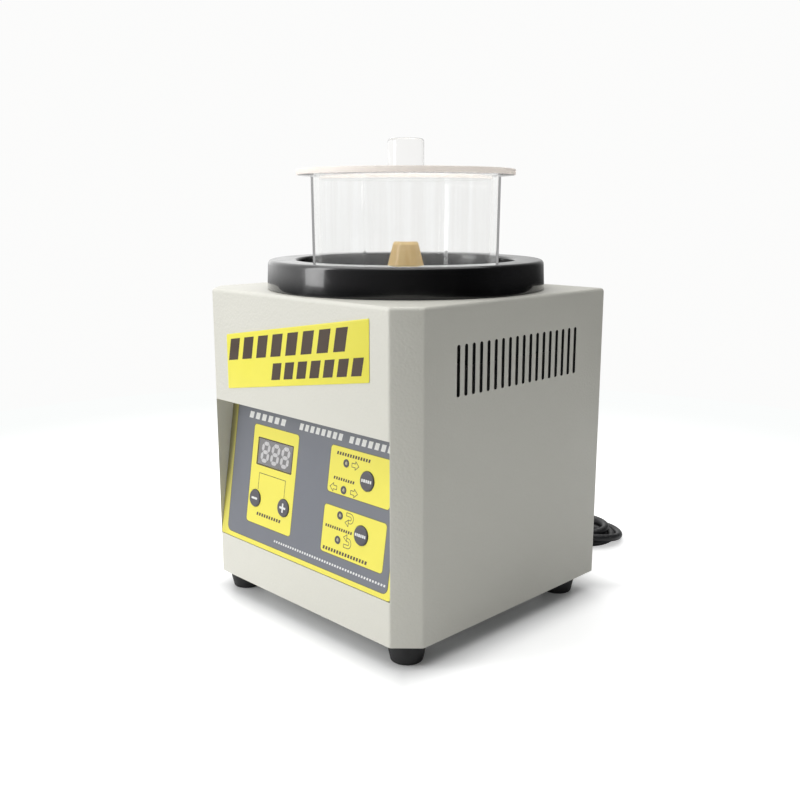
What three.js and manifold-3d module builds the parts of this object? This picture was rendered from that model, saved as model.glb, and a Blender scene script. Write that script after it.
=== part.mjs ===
// Bench-top magnetic tumbler: a chamfered sheet-metal case on rubber feet, a round bowl tray on top,
// and a clear eight-sided bowl with a lift-off lid. Below the tray a motor spins a disc of magnets.
// Millimetres, +Z up, the front faces -Y. The origin is on the bench, under the middle of the machine.

import * as THREE from 'three';
import { mergeVertices } from 'three/addons/utils/BufferGeometryUtils.js';
import Module from 'manifold-3d';

const wasm = await Module();
wasm.setup();

// ---------------------------------------------------------------------------------------------
// Driving dimensions
// ---------------------------------------------------------------------------------------------

const GAP = 0.3; // air left between pieces that touch on the bench

const FOOT_HEIGHT = 17;
const FOOT_TOP_RADIUS = 15.5;
const FOOT_BOTTOM_RADIUS = 11.9;
const FOOT_INSET = 22;

const CASE_WIDTH = 240;
const CASE_DEPTH = 226;
const CASE_HEIGHT = 241;
const CASE_CHAMFER = 17; // 45 degree facets on the two front corners
const CASE_BEND = 3; // outside bend radius of the sheet
const SHEET = 1.5;

const FRONT_REACH = 0.4; // how far the front label stands out of the case
const FUSE_CAP_REACH = 9; // how far the fuse cap stands out of the back panel
const PANEL_SET_BACK = SHEET + GAP; // the back panel sits inside the case's rear flange
const CASE_Y = (FRONT_REACH - FUSE_CAP_REACH + PANEL_SET_BACK) / 2;
const FRONT_Y = CASE_Y - CASE_DEPTH / 2;
const BACK_Y = CASE_Y + CASE_DEPTH / 2;
const REAR_FACE = BACK_Y - PANEL_SET_BACK;
const REAR_FLANGE = 11;
const CASE_BOTTOM = FOOT_HEIGHT;
const CASE_TOP = FOOT_HEIGHT + CASE_HEIGHT;

const AXIS_Y = CASE_Y + 5; // the vertical tumbling axis stands a little behind the case's middle

const TRAY_OUTER_RADIUS = 111.7;
const TRAY_INNER_RADIUS = 88.3;
const TRAY_HEIGHT = 23;
const TRAY_FLOOR = 2.5;
const TRAY_WALL = 3;
const TOP_HOLE_RADIUS = 72;

const BOWL_FLATS = 146.5; // across opposite flats at the rim
const BOWL_WALL = 3;
const BOWL_CORNER = 5;
const BOWL_SIDES = 8;
const BOWL_RIM_ABOVE_TRAY = 65.5;
const BOWL_DRAFT = 0.012; // how much narrower the bowl is at its foot
const CONE_TOP_RADIUS = 10.8;
const CONE_FOOT_RADIUS = 18.8;
const CONE_WALL = 2.1;
const CONE_ABOVE_TRAY = 13.7;
const POST_FOOT_RADIUS = 15.4;
const POST_TOP_RADIUS = 7.2;

const LID_RADIUS = 87;
const LID_THICKNESS = 4.5;
const LID_SPIGOT_RADIUS = 68.4;
const LID_SPIGOT_DEPTH = 3.5;
const KNOB_RADIUS = 14.5;
const KNOB_HEIGHT = 23.7;

const RECESS_BOTTOM = CASE_BOTTOM + 34;
const RECESS_TOP = CASE_BOTTOM + 150;
const RECESS_DEPTH = 17.5; // at its top; the panel meets the front face at the bottom
const RECESS_HALF_WIDTH = CASE_WIDTH / 2 - CASE_CHAMFER;
const PANEL_TILT = Math.atan2(RECESS_DEPTH, RECESS_TOP - RECESS_BOTTOM);
const PANEL_LENGTH = (RECESS_TOP - RECESS_BOTTOM) / Math.cos(PANEL_TILT);
const OVERLAY_THICKNESS = 0.6;
const PLATE_FRONT = OVERLAY_THICKNESS + GAP;
const PLATE_BACK = PLATE_FRONT + 1.5;
const BOARD_FRONT = 11.8;
const BOARD_BACK = 13.4;

// Places on the panel: across from its middle, and up from its bottom edge.
const DISPLAY = { across: -40.7, up: 78, width: 44, height: 21 };
const KEYS = [
  { name: 'minus', across: -60.7, up: 39, radius: 7 },
  { name: 'plus', across: -23.6, up: 39, radius: 7 },
  { name: 'select', across: 68, up: 79.5, radius: 7.2 },
  { name: 'start', across: 67.5, up: 39.5, radius: 7.2 },
];
const LEDS = [
  { name: 'one_way', across: 44, up: 88 },
  { name: 'two_way', across: 44, up: 68 },
  { name: 'running', across: 43, up: 48.7 },
  { name: 'stopped', across: 43, up: 30.2 },
];
const LED_RADIUS = 2.2;
const KEY_CLEARANCE = 0.35;
const KEY_PROUD = 1.1;
const KEY_STEM_RADIUS = 2.8;

const VENT_COUNT = 18;
const VENT_PITCH = 8;
const VENT_WIDTH = 2.9;
const VENT_HEIGHT = 36.5;
const VENT_MIDDLE = CASE_BOTTOM + 194.5;
const REAR_VENT_COUNT = 12;

const LABEL = { width: 168, height: 44, corner: 1.5, rise: 26.9, across: 0, up: CASE_BOTTOM + 196.7 };

const SHAFT_RADIUS = 5;
const SHAFT_BOTTOM = 90;
const SHAFT_TOP = 252;
const BRACKET_UNDERSIDE = 214;
const BRACKET_SHEET = 3;
const MOTOR_RADIUS = 45;
const MOTOR_BOTTOM = 122;
const MOTOR_SPLIT = 132;
const BEARING_RADIUS = 13;
const BEARING_WIDTH = 8;
const DISC_RADIUS = 64;
const DISC_BOTTOM = 238;
const DISC_THICKNESS = 5;
const MAGNET_COUNT = 6;
const MAGNET_RADIUS = 11;
const MAGNET_HEIGHT = 9;
const MAGNET_CIRCLE = 48;
const FAN_RADIUS = 38;
const FAN_BLADES = 6;
const FAN_BOTTOM = 97;
const FAN_HEIGHT = 14;

const SWITCH_X = 85;
const SWITCH_Z = 52;
const SWITCH_TILT = THREE.MathUtils.degToRad(9);
const SWITCH_PIVOT_Y = REAR_FACE - 2;
const FUSE_X = 85;
const FUSE_Z = 88;
const GLAND_X = -45;
const GLAND_Z = 40;
const GLAND_LENGTH = 32;

const CORD_RADIUS = 3.5;
const COIL_LEFT = -46; // middles of the oval coil's two ends
const COIL_RIGHT = 38;
const COIL_Y = 212;
const COIL_INNER_RADIUS = 18;
const COIL_OUTER_RADIUS = 31.9;
const COIL_HEIGHT = 14.3;
const CORD_SIDES = 8;
const CORD_STEP = 18;

// The lead from the strain relief down to the bench in front of the coil.
const LEAD_ROUTE = [
  [-45, 140.2, 40], [-44.7, 147, 39.6], [-43.4, 153.4, 38.2], [-40.6, 159.2, 35.4], [-36.2, 164.2, 31],
  [-30.4, 168.2, 25.4], [-23.8, 171.2, 19.2], [-16.6, 173.6, 13.2], [-9.2, 175.6, 8.2],
];
// The tail along the coil's far side, round its left end and under the lead to the plug.
const TAIL_ROUTE = [
  [36, 247.6, 3.8], [22, 247.6, 3.8], [5, 247.6, 3.8], [-12, 247.6, 3.8], [-29, 247.6, 3.8], [-46, 247.6, 3.8],
  [-59.6, 244.9, 3.8], [-71.2, 237.2, 3.8], [-78.9, 225.6, 3.8], [-81.6, 212, 3.8], [-78.9, 198.4, 3.8],
  [-71.2, 186.8, 3.8], [-61.6, 177.8, 3.8], [-50, 170.6, 3.8], [-36, 165.2, 3.8], [-22, 161.9, 4],
  [-8, 160, 5.4], [4, 158.9, 8.2], [14, 158, 10.4],
];
const PLUG = { x: 14, y: 158, z: 10.6, turn: -0.08 };

// ---------------------------------------------------------------------------------------------
// Finishes
// ---------------------------------------------------------------------------------------------

function finish(colour, roughness, metalness = 0) {
  return new THREE.MeshStandardMaterial({ color: colour, roughness, metalness });
}

const IVORY_PAINT = 0xe6e3d8;
const BLACK_RUBBER = 0x151515;
const BLACK_GLOSS = 0x0c0c0d;
const CLEAR_ACRYLIC = 0xdfe6e4;
const PANEL_GREY = 0x7d8087;
const LABEL_YELLOW = 0xfff86a;
const KEY_GREY = 0x55535a;
const STEEL = 0x9a9c9e;
const ZINC = 0xb4b6b2;
const BOARD_GREEN = 0x1f5b3a;
const TAN = 0xb98a4a;

// ---------------------------------------------------------------------------------------------
// Shape helpers
// ---------------------------------------------------------------------------------------------

function solidOf(geometry) {
  const bare = geometry.clone();
  bare.deleteAttribute('normal');
  bare.deleteAttribute('uv');
  const merged = mergeVertices(bare, 1e-4);
  return new wasm.Manifold(new wasm.Mesh({
    numProp: 3,
    vertProperties: new Float32Array(merged.attributes.position.array),
    triVerts: new Uint32Array(merged.index.array),
  }));
}

function geometryOf(solid) {
  const mesh = solid.getMesh();
  const geometry = new THREE.BufferGeometry();
  geometry.setAttribute('position', new THREE.BufferAttribute(new Float32Array(mesh.vertProperties), 3));
  geometry.setIndex(new THREE.BufferAttribute(new Uint32Array(mesh.triVerts), 1));
  geometry.computeVertexNormals();
  return geometry;
}

function join(first, ...others) {
  let solid = solidOf(first);
  for (const other of others) solid = solid.add(solidOf(other));
  return geometryOf(solid);
}

function cut(first, ...tools) {
  let solid = solidOf(first);
  for (const tool of tools) solid = solid.subtract(solidOf(tool));
  return geometryOf(solid);
}

function common(first, second) {
  return geometryOf(solidOf(first).intersect(solidOf(second)));
}

function shapeOf(points) {
  return new THREE.Shape(points.map(([a, b]) => new THREE.Vector2(a, b)));
}

function extrude(shape, depth, curveSegments = 2) {
  return new THREE.ExtrudeGeometry(shape, { depth, bevelEnabled: false, curveSegments });
}

// An outline in X and Y, standing from one height to another.
function prismZ(points, low, high) {
  return extrude(shapeOf(points), high - low).translate(0, 0, low);
}

// An outline in Y and Z, running across the machine.
function prismX(shape, left, right) {
  const turn = new THREE.Matrix4().makeBasis(
    new THREE.Vector3(0, 1, 0), new THREE.Vector3(0, 0, 1), new THREE.Vector3(1, 0, 0));
  return extrude(shape, right - left).applyMatrix4(turn).translate(left, 0, 0);
}

// An outline in X and Z, running from front to back.
function prismY(shape, front, back, curveSegments = 2) {
  const turn = new THREE.Matrix4().makeBasis(
    new THREE.Vector3(1, 0, 0), new THREE.Vector3(0, 0, 1), new THREE.Vector3(0, -1, 0));
  return extrude(shape, back - front, curveSegments).applyMatrix4(turn).translate(0, back, 0);
}

function block(x0, x1, y0, y1, z0, z1) {
  return new THREE.BoxGeometry(x1 - x0, y1 - y0, z1 - z0)
    .translate((x0 + x1) / 2, (y0 + y1) / 2, (z0 + z1) / 2);
}

function rod(radius, low, high, sides = 24) {
  return new THREE.CylinderGeometry(radius, radius, high - low, sides)
    .rotateX(Math.PI / 2).translate(0, 0, (low + high) / 2);
}

// A turned piece about Z from [radius, height] points, listed anticlockwise seen with the axis on the left.
function turned(points, sides) {
  const onAxis = points[0][0] === 0;
  const ring = onAxis ? points : [...points, points[0]];
  return new THREE.LatheGeometry(ring.map(([r, z]) => new THREE.Vector2(r, z)), sides)
    .rotateX(Math.PI / 2);
}

// The same, turned about a front-to-back axis, with heights running backwards.
function turnedBack(points, sides) {
  return turned(points, sides).rotateX(-Math.PI / 2);
}

function roundedRectangle(width, height, radius) {
  const w = width / 2;
  const h = height / 2;
  const shape = new THREE.Shape();
  shape.moveTo(-w + radius, -h);
  shape.lineTo(w - radius, -h);
  shape.absarc(w - radius, -h + radius, radius, -Math.PI / 2, 0);
  shape.lineTo(w, h - radius);
  shape.absarc(w - radius, h - radius, radius, 0, Math.PI / 2);
  shape.lineTo(-w + radius, h);
  shape.absarc(-w + radius, h - radius, radius, Math.PI / 2, Math.PI);
  shape.lineTo(-w, -h + radius);
  shape.absarc(-w + radius, -h + radius, radius, Math.PI, Math.PI * 1.5);
  return shape;
}

// A slot with round ends about (across, up), as the outline of a vent.
function slotShape(across, up, width, height) {
  const r = width / 2;
  const reach = height / 2 - r;
  const shape = new THREE.Shape();
  shape.absarc(across, up - reach, r, Math.PI, Math.PI * 2);
  shape.absarc(across, up + reach, r, 0, Math.PI);
  return shape;
}

function circlePath(across, up, radius, sides) {
  const path = new THREE.Path();
  for (let i = 0; i < sides; i += 1) {
    const angle = (-i / sides) * Math.PI * 2;
    const x = across + radius * Math.cos(angle);
    const y = up + radius * Math.sin(angle);
    if (i === 0) path.moveTo(x, y);
    else path.lineTo(x, y);
  }
  path.closePath();
  return path;
}

// The points of a convex outline with each corner rounded by short chords.
function roundCorners(points, radius, steps) {
  const result = [];
  points.forEach((point, i) => {
    const here = new THREE.Vector2(...point);
    const last = points[(i + points.length - 1) % points.length];
    const next = points[(i + 1) % points.length];
    const before = new THREE.Vector2(...last).sub(here).normalize();
    const after = new THREE.Vector2(...next).sub(here).normalize();
    const half = before.angleTo(after) / 2;
    const middle = before.clone().add(after).normalize().multiplyScalar(radius / Math.sin(half)).add(here);
    const from = before.multiplyScalar(radius / Math.tan(half)).add(here).sub(middle);
    const sweep = Math.PI - 2 * half;
    for (let k = 0; k <= steps; k += 1) {
      const spoke = from.clone().rotateAround(new THREE.Vector2(), (sweep * k) / steps);
      result.push([middle.x + spoke.x, middle.y + spoke.y]);
    }
  });
  return result;
}

const machine = new THREE.Group();

function piece(name, geometry, material, parent = machine) {
  const mesh = new THREE.Mesh(geometry, material);
  mesh.name = name;
  parent.add(mesh);
  return mesh;
}

// ---------------------------------------------------------------------------------------------
// Case
// ---------------------------------------------------------------------------------------------

// The case's plan, drawn in from its outside by an inset, and run on past the back if asked.
function casePlan(inset, pastBack = 0) {
  const w = CASE_WIDTH / 2 - inset;
  const front = FRONT_Y + inset;
  const back = BACK_Y + pastBack;
  const chamfer = CASE_CHAMFER - inset * (2 - Math.SQRT2);
  return [[-w + chamfer, front], [w - chamfer, front], [w, front + chamfer], [w, back], [-w, back],
    [-w, front + chamfer]];
}

// The wedge in front of the slanted panel, carried on behind it and above the recess.
function recessWedge(behind, above, halfWidth) {
  const rise = RECESS_TOP - RECESS_BOTTOM;
  const depth = RECESS_DEPTH * (1 + above / rise);
  const shape = shapeOf([
    [FRONT_Y - 5, RECESS_BOTTOM],
    [FRONT_Y + behind, RECESS_BOTTOM],
    [FRONT_Y + behind + depth, RECESS_TOP + above],
    [FRONT_Y - 5, RECESS_TOP + above],
  ]);
  return prismX(shape, -halfWidth, halfWidth);
}

function caseShell() {
  const bevel = CASE_BEND;
  const outline = roundCorners(casePlan(bevel, -bevel), 0.6, 2);
  const outer = new THREE.ExtrudeGeometry(shapeOf(outline), {
    depth: CASE_HEIGHT + 10 - 2 * bevel, bevelThickness: bevel, bevelSize: bevel, bevelSegments: 3,
  }).translate(0, 0, CASE_BOTTOM - 10 + bevel);
  const foot = block(-200, 200, -200, 200, -50, CASE_BOTTOM);
  const solidCase = cut(outer, foot);
  const hollow = prismZ(casePlan(SHEET, -SHEET), -20, CASE_TOP - SHEET);
  const openingHalf = CASE_WIDTH / 2 - REAR_FLANGE;
  const rearOpening = block(-openingHalf, openingHalf, REAR_FACE, BACK_Y + 5, -20, CASE_TOP - REAR_FLANGE);
  const shell = cut(solidCase, hollow, rearOpening);
  const recessWalls = common(recessWedge(6, SHEET, RECESS_HALF_WIDTH + SHEET), solidCase);
  const opening = recessWedge(10, 0, RECESS_HALF_WIDTH);
  const vents = [];
  for (let i = 0; i < VENT_COUNT; i += 1) {
    const y = AXIS_Y + (i - (VENT_COUNT - 1) / 2) * VENT_PITCH;
    vents.push(prismX(slotShape(y, VENT_MIDDLE, VENT_WIDTH, VENT_HEIGHT), -130, 130));
  }
  const topHole = rod(TOP_HOLE_RADIUS, CASE_TOP - 10, CASE_TOP + 10, 36).translate(0, AXIS_Y, 0);
  return cut(join(shell, recessWalls), opening, topHole, ...vents);
}

function backPanel() {
  const shape = roundedRectangle(CASE_WIDTH - 2 * (SHEET + GAP), CASE_HEIGHT - SHEET - 2 * GAP, 1);
  const middle = CASE_BOTTOM + (CASE_HEIGHT - SHEET) / 2;
  for (let i = 0; i < REAR_VENT_COUNT; i += 1) {
    const across = (i - (REAR_VENT_COUNT - 1) / 2) * VENT_PITCH;
    const hole = slotShape(across, VENT_MIDDLE - middle, VENT_WIDTH, VENT_HEIGHT);
    shape.holes.push(new THREE.Path(hole.getPoints(2).reverse()));
  }
  shape.holes.push(circlePath(FUSE_X, FUSE_Z - middle, 6.2, 16));
  shape.holes.push(circlePath(GLAND_X, GLAND_Z - middle, 6.4, 16));
  const slot = new THREE.Path();
  slot.moveTo(SWITCH_X - 6.9, SWITCH_Z - middle - 9.9);
  slot.lineTo(SWITCH_X - 6.9, SWITCH_Z - middle + 9.9);
  slot.lineTo(SWITCH_X + 6.9, SWITCH_Z - middle + 9.9);
  slot.lineTo(SWITCH_X + 6.9, SWITCH_Z - middle - 9.9);
  slot.closePath();
  shape.holes.push(slot);
  return prismY(shape, REAR_FACE - SHEET, REAR_FACE).translate(0, 0, middle);
}

function footPlaces() {
  const x = CASE_WIDTH / 2 - FOOT_INSET;
  const y = CASE_DEPTH / 2 - FOOT_INSET;
  return [
    { name: 'front_left', x: -x, y: CASE_Y - y },
    { name: 'front_right', x, y: CASE_Y - y },
    { name: 'rear_left', x: -x, y: CASE_Y + y },
    { name: 'rear_right', x, y: CASE_Y + y },
  ];
}

function basePlate() {
  const shape = shapeOf(casePlan(SHEET + GAP, -2 * PANEL_SET_BACK));
  for (const foot of footPlaces()) shape.holes.push(circlePath(foot.x, foot.y, 2.4, 10));
  for (let i = -2; i <= 2; i += 1) {
    const hole = slotShape(i * 12, AXIS_Y, 4, 56);
    shape.holes.push(new THREE.Path(hole.getPoints(2).reverse()));
  }
  return extrude(shape, 2).translate(0, 0, CASE_BOTTOM + GAP);
}

function foot() {
  return turned([
    [6, 0], [FOOT_BOTTOM_RADIUS - 0.8, 0], [FOOT_BOTTOM_RADIUS, 0.8], [FOOT_TOP_RADIUS, FOOT_HEIGHT - 1],
    [FOOT_TOP_RADIUS - 1, FOOT_HEIGHT], [2.4, FOOT_HEIGHT], [2.4, 9], [6, 9],
  ], 16);
}

function frontLabel() {
  const w = LABEL.width / 2;
  const h = LABEL.height / 2;
  const lean = LABEL.rise / 2;
  const outline = [[-w, -h - lean], [w, -h + lean], [w, h + lean], [-w, h - lean]];
  const film = FRONT_REACH - 0.1;
  return prismY(shapeOf(roundCorners(outline, LABEL.corner, 3)), 0, film)
    .translate(LABEL.across, FRONT_Y - FRONT_REACH, LABEL.up);
}

piece('case_shell', caseShell(), finish(IVORY_PAINT, 0.45));
piece('back_panel', backPanel(), finish(IVORY_PAINT, 0.45));
piece('base_plate', basePlate(), finish(ZINC, 0.4, 0.8));
for (const place of footPlaces()) {
  piece(`foot_${place.name}`, foot(), finish(BLACK_RUBBER, 0.8)).position.set(place.x, place.y, 0);
}
piece('front_label', frontLabel(), finish(LABEL_YELLOW, 0.5));

// ---------------------------------------------------------------------------------------------
// Tray, bowl and lid, on the tumbling axis
// ---------------------------------------------------------------------------------------------

const onAxis = new THREE.Group();
onAxis.position.y = AXIS_Y;
machine.add(onAxis);

const TRAY_BOTTOM = CASE_TOP + GAP;
const TRAY_TOP = CASE_TOP + TRAY_HEIGHT;
const BOWL_BOTTOM = TRAY_BOTTOM + TRAY_FLOOR + GAP;
const BOWL_RIM = TRAY_TOP + BOWL_RIM_ABOVE_TRAY - GAP;
const LID_BOTTOM = BOWL_RIM + GAP;
const LID_TOP = LID_BOTTOM + LID_THICKNESS;

// A ring moulding, open underneath, with a flat floor that the bowl stands on.
function bowlTray() {
  const outer = TRAY_OUTER_RADIUS;
  const inner = TRAY_INNER_RADIUS;
  const floorTop = TRAY_BOTTOM + TRAY_FLOOR;
  return turned([
    [0, TRAY_BOTTOM], [inner + TRAY_WALL, TRAY_BOTTOM], [inner + TRAY_WALL, TRAY_TOP - TRAY_WALL],
    [outer - TRAY_WALL, TRAY_TOP - TRAY_WALL - 1.5], [outer - TRAY_WALL, TRAY_BOTTOM], [outer, TRAY_BOTTOM],
    [outer, TRAY_TOP - 4], [outer - 1.2, TRAY_TOP - 1.2], [outer - 4, TRAY_TOP],
    [inner + 1.5, TRAY_TOP], [inner, TRAY_TOP - 1.5], [inner, floorTop], [0, floorTop],
  ], 48);
}

function locatingPost() {
  const low = BOWL_BOTTOM;
  const high = TRAY_TOP + CONE_ABOVE_TRAY - 4;
  return turned([
    [0, low], [POST_FOOT_RADIUS, low], [POST_TOP_RADIUS + 1.2, high - 1.5], [POST_TOP_RADIUS, high], [0, high],
  ], 20);
}

// An eight-sided outline with its flats square to the case.
function octagon(acrossFlats, corner) {
  const radius = acrossFlats / 2 / Math.cos(Math.PI / BOWL_SIDES);
  const points = [];
  for (let i = 0; i < BOWL_SIDES; i += 1) {
    const angle = ((i + 0.5) / BOWL_SIDES) * Math.PI * 2;
    points.push([radius * Math.cos(angle), radius * Math.sin(angle)]);
  }
  return roundCorners(points, corner, 3);
}

// Draws a straight prism in towards its foot, as a moulding drafts.
function draft(geometry) {
  const position = geometry.attributes.position;
  for (let i = 0; i < position.count; i += 1) {
    const drop = (BOWL_RIM - position.getZ(i)) / (BOWL_RIM - BOWL_BOTTOM);
    const scale = 1 - BOWL_DRAFT * drop;
    position.setXY(i, position.getX(i) * scale, position.getY(i) * scale);
  }
  return geometry;
}

function bowl() {
  const floor = BOWL_BOTTOM + BOWL_WALL;
  const coneTop = TRAY_TOP + CONE_ABOVE_TRAY;
  const outside = draft(prismZ(octagon(BOWL_FLATS, BOWL_CORNER), BOWL_BOTTOM, BOWL_RIM));
  const inside = draft(prismZ(octagon(BOWL_FLATS - 2 * BOWL_WALL, BOWL_CORNER - BOWL_WALL),
    floor, BOWL_RIM + 5));
  const cone = turned([
    [0, floor - 1], [CONE_FOOT_RADIUS, floor - 1], [CONE_TOP_RADIUS, coneTop - 1.5],
    [CONE_TOP_RADIUS - 1.5, coneTop], [0, coneTop],
  ], 20);
  const coneHollow = turned([
    [0, BOWL_BOTTOM - 1], [CONE_FOOT_RADIUS - CONE_WALL + 0.2, BOWL_BOTTOM - 1],
    [CONE_TOP_RADIUS - CONE_WALL, coneTop - CONE_WALL], [0, coneTop - CONE_WALL],
  ], 20);
  return cut(join(cut(outside, inside), cone), coneHollow);
}

function lidDisc() {
  return turned([
    [0, LID_BOTTOM - LID_SPIGOT_DEPTH], [LID_SPIGOT_RADIUS, LID_BOTTOM - LID_SPIGOT_DEPTH],
    [LID_SPIGOT_RADIUS, LID_BOTTOM], [LID_RADIUS - 0.6, LID_BOTTOM], [LID_RADIUS, LID_BOTTOM + 0.6],
    [LID_RADIUS, LID_TOP - 0.6], [LID_RADIUS - 0.6, LID_TOP], [0, LID_TOP],
  ], 48);
}

function lidKnob() {
  const low = LID_TOP + GAP;
  const high = low + KNOB_HEIGHT;
  return turned([
    [0, low], [KNOB_RADIUS, low], [KNOB_RADIUS, high - 3], [KNOB_RADIUS - 0.9, high - 0.9],
    [KNOB_RADIUS - 3, high], [0, high],
  ], 28);
}

piece('bowl_tray', bowlTray(), finish(BLACK_GLOSS, 0.25), onAxis);
piece('locating_post', locatingPost(), finish(TAN, 0.5), onAxis);
piece('bowl', bowl(), finish(CLEAR_ACRYLIC, 0.08), onAxis);
piece('lid_disc', lidDisc(), finish(CLEAR_ACRYLIC, 0.08), onAxis);
piece('lid_knob', lidKnob(), finish(CLEAR_ACRYLIC, 0.08), onAxis);

// ---------------------------------------------------------------------------------------------
// Control panel: local X across, local Y into the machine, local Z up the slope
// ---------------------------------------------------------------------------------------------

const panel = new THREE.Group();
panel.position.set(0, FRONT_Y, RECESS_BOTTOM);
panel.rotation.x = -PANEL_TILT;
machine.add(panel);

// A sheet in the panel's plane with holes for the display, the keys and the lights.
function panelSheet(halfWidth, low, high, corner, front, back, windowExtra) {
  const shape = roundedRectangle(2 * halfWidth, high - low, corner);
  const middle = (low + high) / 2;
  const w = DISPLAY.width / 2 + windowExtra;
  const h = DISPLAY.height / 2 + windowExtra;
  const window = new THREE.Path();
  window.moveTo(DISPLAY.across - w, DISPLAY.up - middle - h);
  window.lineTo(DISPLAY.across - w, DISPLAY.up - middle + h);
  window.lineTo(DISPLAY.across + w, DISPLAY.up - middle + h);
  window.lineTo(DISPLAY.across + w, DISPLAY.up - middle - h);
  window.closePath();
  shape.holes.push(window);
  for (const key of KEYS) {
    shape.holes.push(circlePath(key.across, key.up - middle, key.radius + KEY_CLEARANCE, 16));
  }
  for (const led of LEDS) {
    shape.holes.push(circlePath(led.across, led.up - middle, LED_RADIUS + GAP, 8));
  }
  return prismY(shape, front, back).translate(0, 0, middle);
}

function panelPlate() {
  const sheet = panelSheet(RECESS_HALF_WIDTH - GAP, 0.7, PANEL_LENGTH - 1.2, 1, PLATE_FRONT, PLATE_BACK, -1);
  const studs = [];
  for (const across of [-70, 85]) {
    for (const up of [24, 94]) {
      studs.push(rod(2.5, -(BOARD_FRONT - GAP), -(PLATE_BACK - 0.5), 6).rotateX(Math.PI / 2)
        .translate(across, 0, up));
    }
  }
  return join(sheet, ...studs);
}

function panelOverlay() {
  return panelSheet(RECESS_HALF_WIDTH - GAP, 0.7, PANEL_LENGTH - 1.2, 2, 0, OVERLAY_THICKNESS, 0);
}

function displayWindow() {
  const shape = roundedRectangle(DISPLAY.width - 2 * GAP, DISPLAY.height - 2 * GAP, 0.5);
  return prismY(shape, 0.05, OVERLAY_THICKNESS).translate(DISPLAY.across, 0, DISPLAY.up);
}

function displayModule() {
  return block(-18.8, 18.8, PLATE_FRONT + GAP, BOARD_FRONT - GAP, -9.2, 9.2)
    .translate(DISPLAY.across, 0, DISPLAY.up);
}

function controlBoard() {
  return block(-76, 90, BOARD_FRONT, BOARD_BACK, 20, 98);
}

// A round cap with a flange behind the plate and a stem that works the switch behind it.
function keyCap(radius) {
  const flange = PLATE_BACK + GAP;
  return turnedBack([
    [0, -KEY_PROUD], [radius - 0.8, -KEY_PROUD], [radius, -KEY_PROUD + 0.6], [radius, flange],
    [radius + 1.3, flange], [radius + 1.3, flange + 0.9], [KEY_STEM_RADIUS, flange + 0.9],
    [KEY_STEM_RADIUS, 9.2], [0, 9.2],
  ], 16);
}

function keySwitch() {
  const body = block(-6, 6, 7.4, BOARD_FRONT - GAP, -6, 6);
  const bore = turnedBack([[0, 7], [KEY_STEM_RADIUS + 0.5, 7], [KEY_STEM_RADIUS + 0.5, 10.3], [0, 10.3]], 10);
  return cut(body, bore);
}

function lightBody() {
  return turnedBack([
    [0, -0.6], [1.3, -0.3], [LED_RADIUS, 0.8], [LED_RADIUS, 7], [LED_RADIUS + 0.4, 7],
    [LED_RADIUS + 0.4, 8], [1.7, 8], [1.7, BOARD_FRONT - GAP], [0, BOARD_FRONT - GAP],
  ], 8);
}

piece('panel_plate', panelPlate(), finish(ZINC, 0.45, 0.7), panel);
piece('panel_overlay', panelOverlay(), finish(PANEL_GREY, 0.5), panel);
piece('display_window', displayWindow(), finish(0x8a8a8c, 0.15), panel);
piece('display_module', displayModule(), finish(0x9a9a98, 0.4), panel);
piece('control_board', controlBoard(), finish(BOARD_GREEN, 0.5), panel);
for (const key of KEYS) {
  piece(`key_${key.name}`, keyCap(key.radius), finish(KEY_GREY, 0.5), panel)
    .position.set(key.across, 0, key.up);
  piece(`key_switch_${key.name}`, keySwitch(), finish(0x1b1b1d, 0.5), panel)
    .position.set(key.across, 0, key.up);
}
for (const led of LEDS) {
  piece(`light_${led.name}`, lightBody(), finish(0xd9d7c4, 0.2), panel)
    .position.set(led.across, 0, led.up);
}

// ---------------------------------------------------------------------------------------------
// Drive: bracket, motor, shaft, magnet disc and fan
// ---------------------------------------------------------------------------------------------

const BEARING_SEAT = BEARING_RADIUS + GAP;
const SHAFT_HOLE = SHAFT_RADIUS + 2;
const MOTOR_TOP = BRACKET_UNDERSIDE - GAP;
const UPPER_BEARING = MOTOR_TOP - 2 - BEARING_WIDTH;
const LOWER_BEARING = MOTOR_BOTTOM + 2;

function motorBracket() {
  const reach = CASE_WIDTH / 2 - SHEET - GAP;
  const top = BRACKET_UNDERSIDE + BRACKET_SHEET;
  const plate = block(-reach, reach, -55, 55, BRACKET_UNDERSIDE, top);
  const left = block(-reach, -reach + BRACKET_SHEET, -55, 55, BRACKET_UNDERSIDE, top + 22);
  const right = block(reach - BRACKET_SHEET, reach, -55, 55, BRACKET_UNDERSIDE, top + 22);
  const hole = rod(22, BRACKET_UNDERSIDE - 5, top + 5, 20);
  return cut(join(plate, left, right), hole);
}

function motorHousing() {
  const wall = MOTOR_RADIUS - 3;
  return turned([
    [wall, MOTOR_SPLIT + GAP], [MOTOR_RADIUS, MOTOR_SPLIT + GAP], [MOTOR_RADIUS, MOTOR_TOP],
    [SHAFT_HOLE, MOTOR_TOP], [SHAFT_HOLE, UPPER_BEARING + BEARING_WIDTH + GAP],
    [BEARING_SEAT, UPPER_BEARING + BEARING_WIDTH + GAP], [BEARING_SEAT, UPPER_BEARING - 1],
    [wall, UPPER_BEARING - 1],
  ], 24);
}

function motorEndCap() {
  return turned([
    [SHAFT_HOLE, MOTOR_BOTTOM], [MOTOR_RADIUS, MOTOR_BOTTOM], [MOTOR_RADIUS, MOTOR_SPLIT],
    [BEARING_SEAT, MOTOR_SPLIT], [BEARING_SEAT, LOWER_BEARING - GAP], [SHAFT_HOLE, LOWER_BEARING - GAP],
  ], 24);
}

function tube(inner, outer, low, high, sides) {
  return turned([[inner, low], [outer, low], [outer, high], [inner, high]], sides);
}

function bearing(low) {
  return tube(SHAFT_RADIUS + GAP, BEARING_RADIUS, low, low + BEARING_WIDTH, 16);
}

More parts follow.
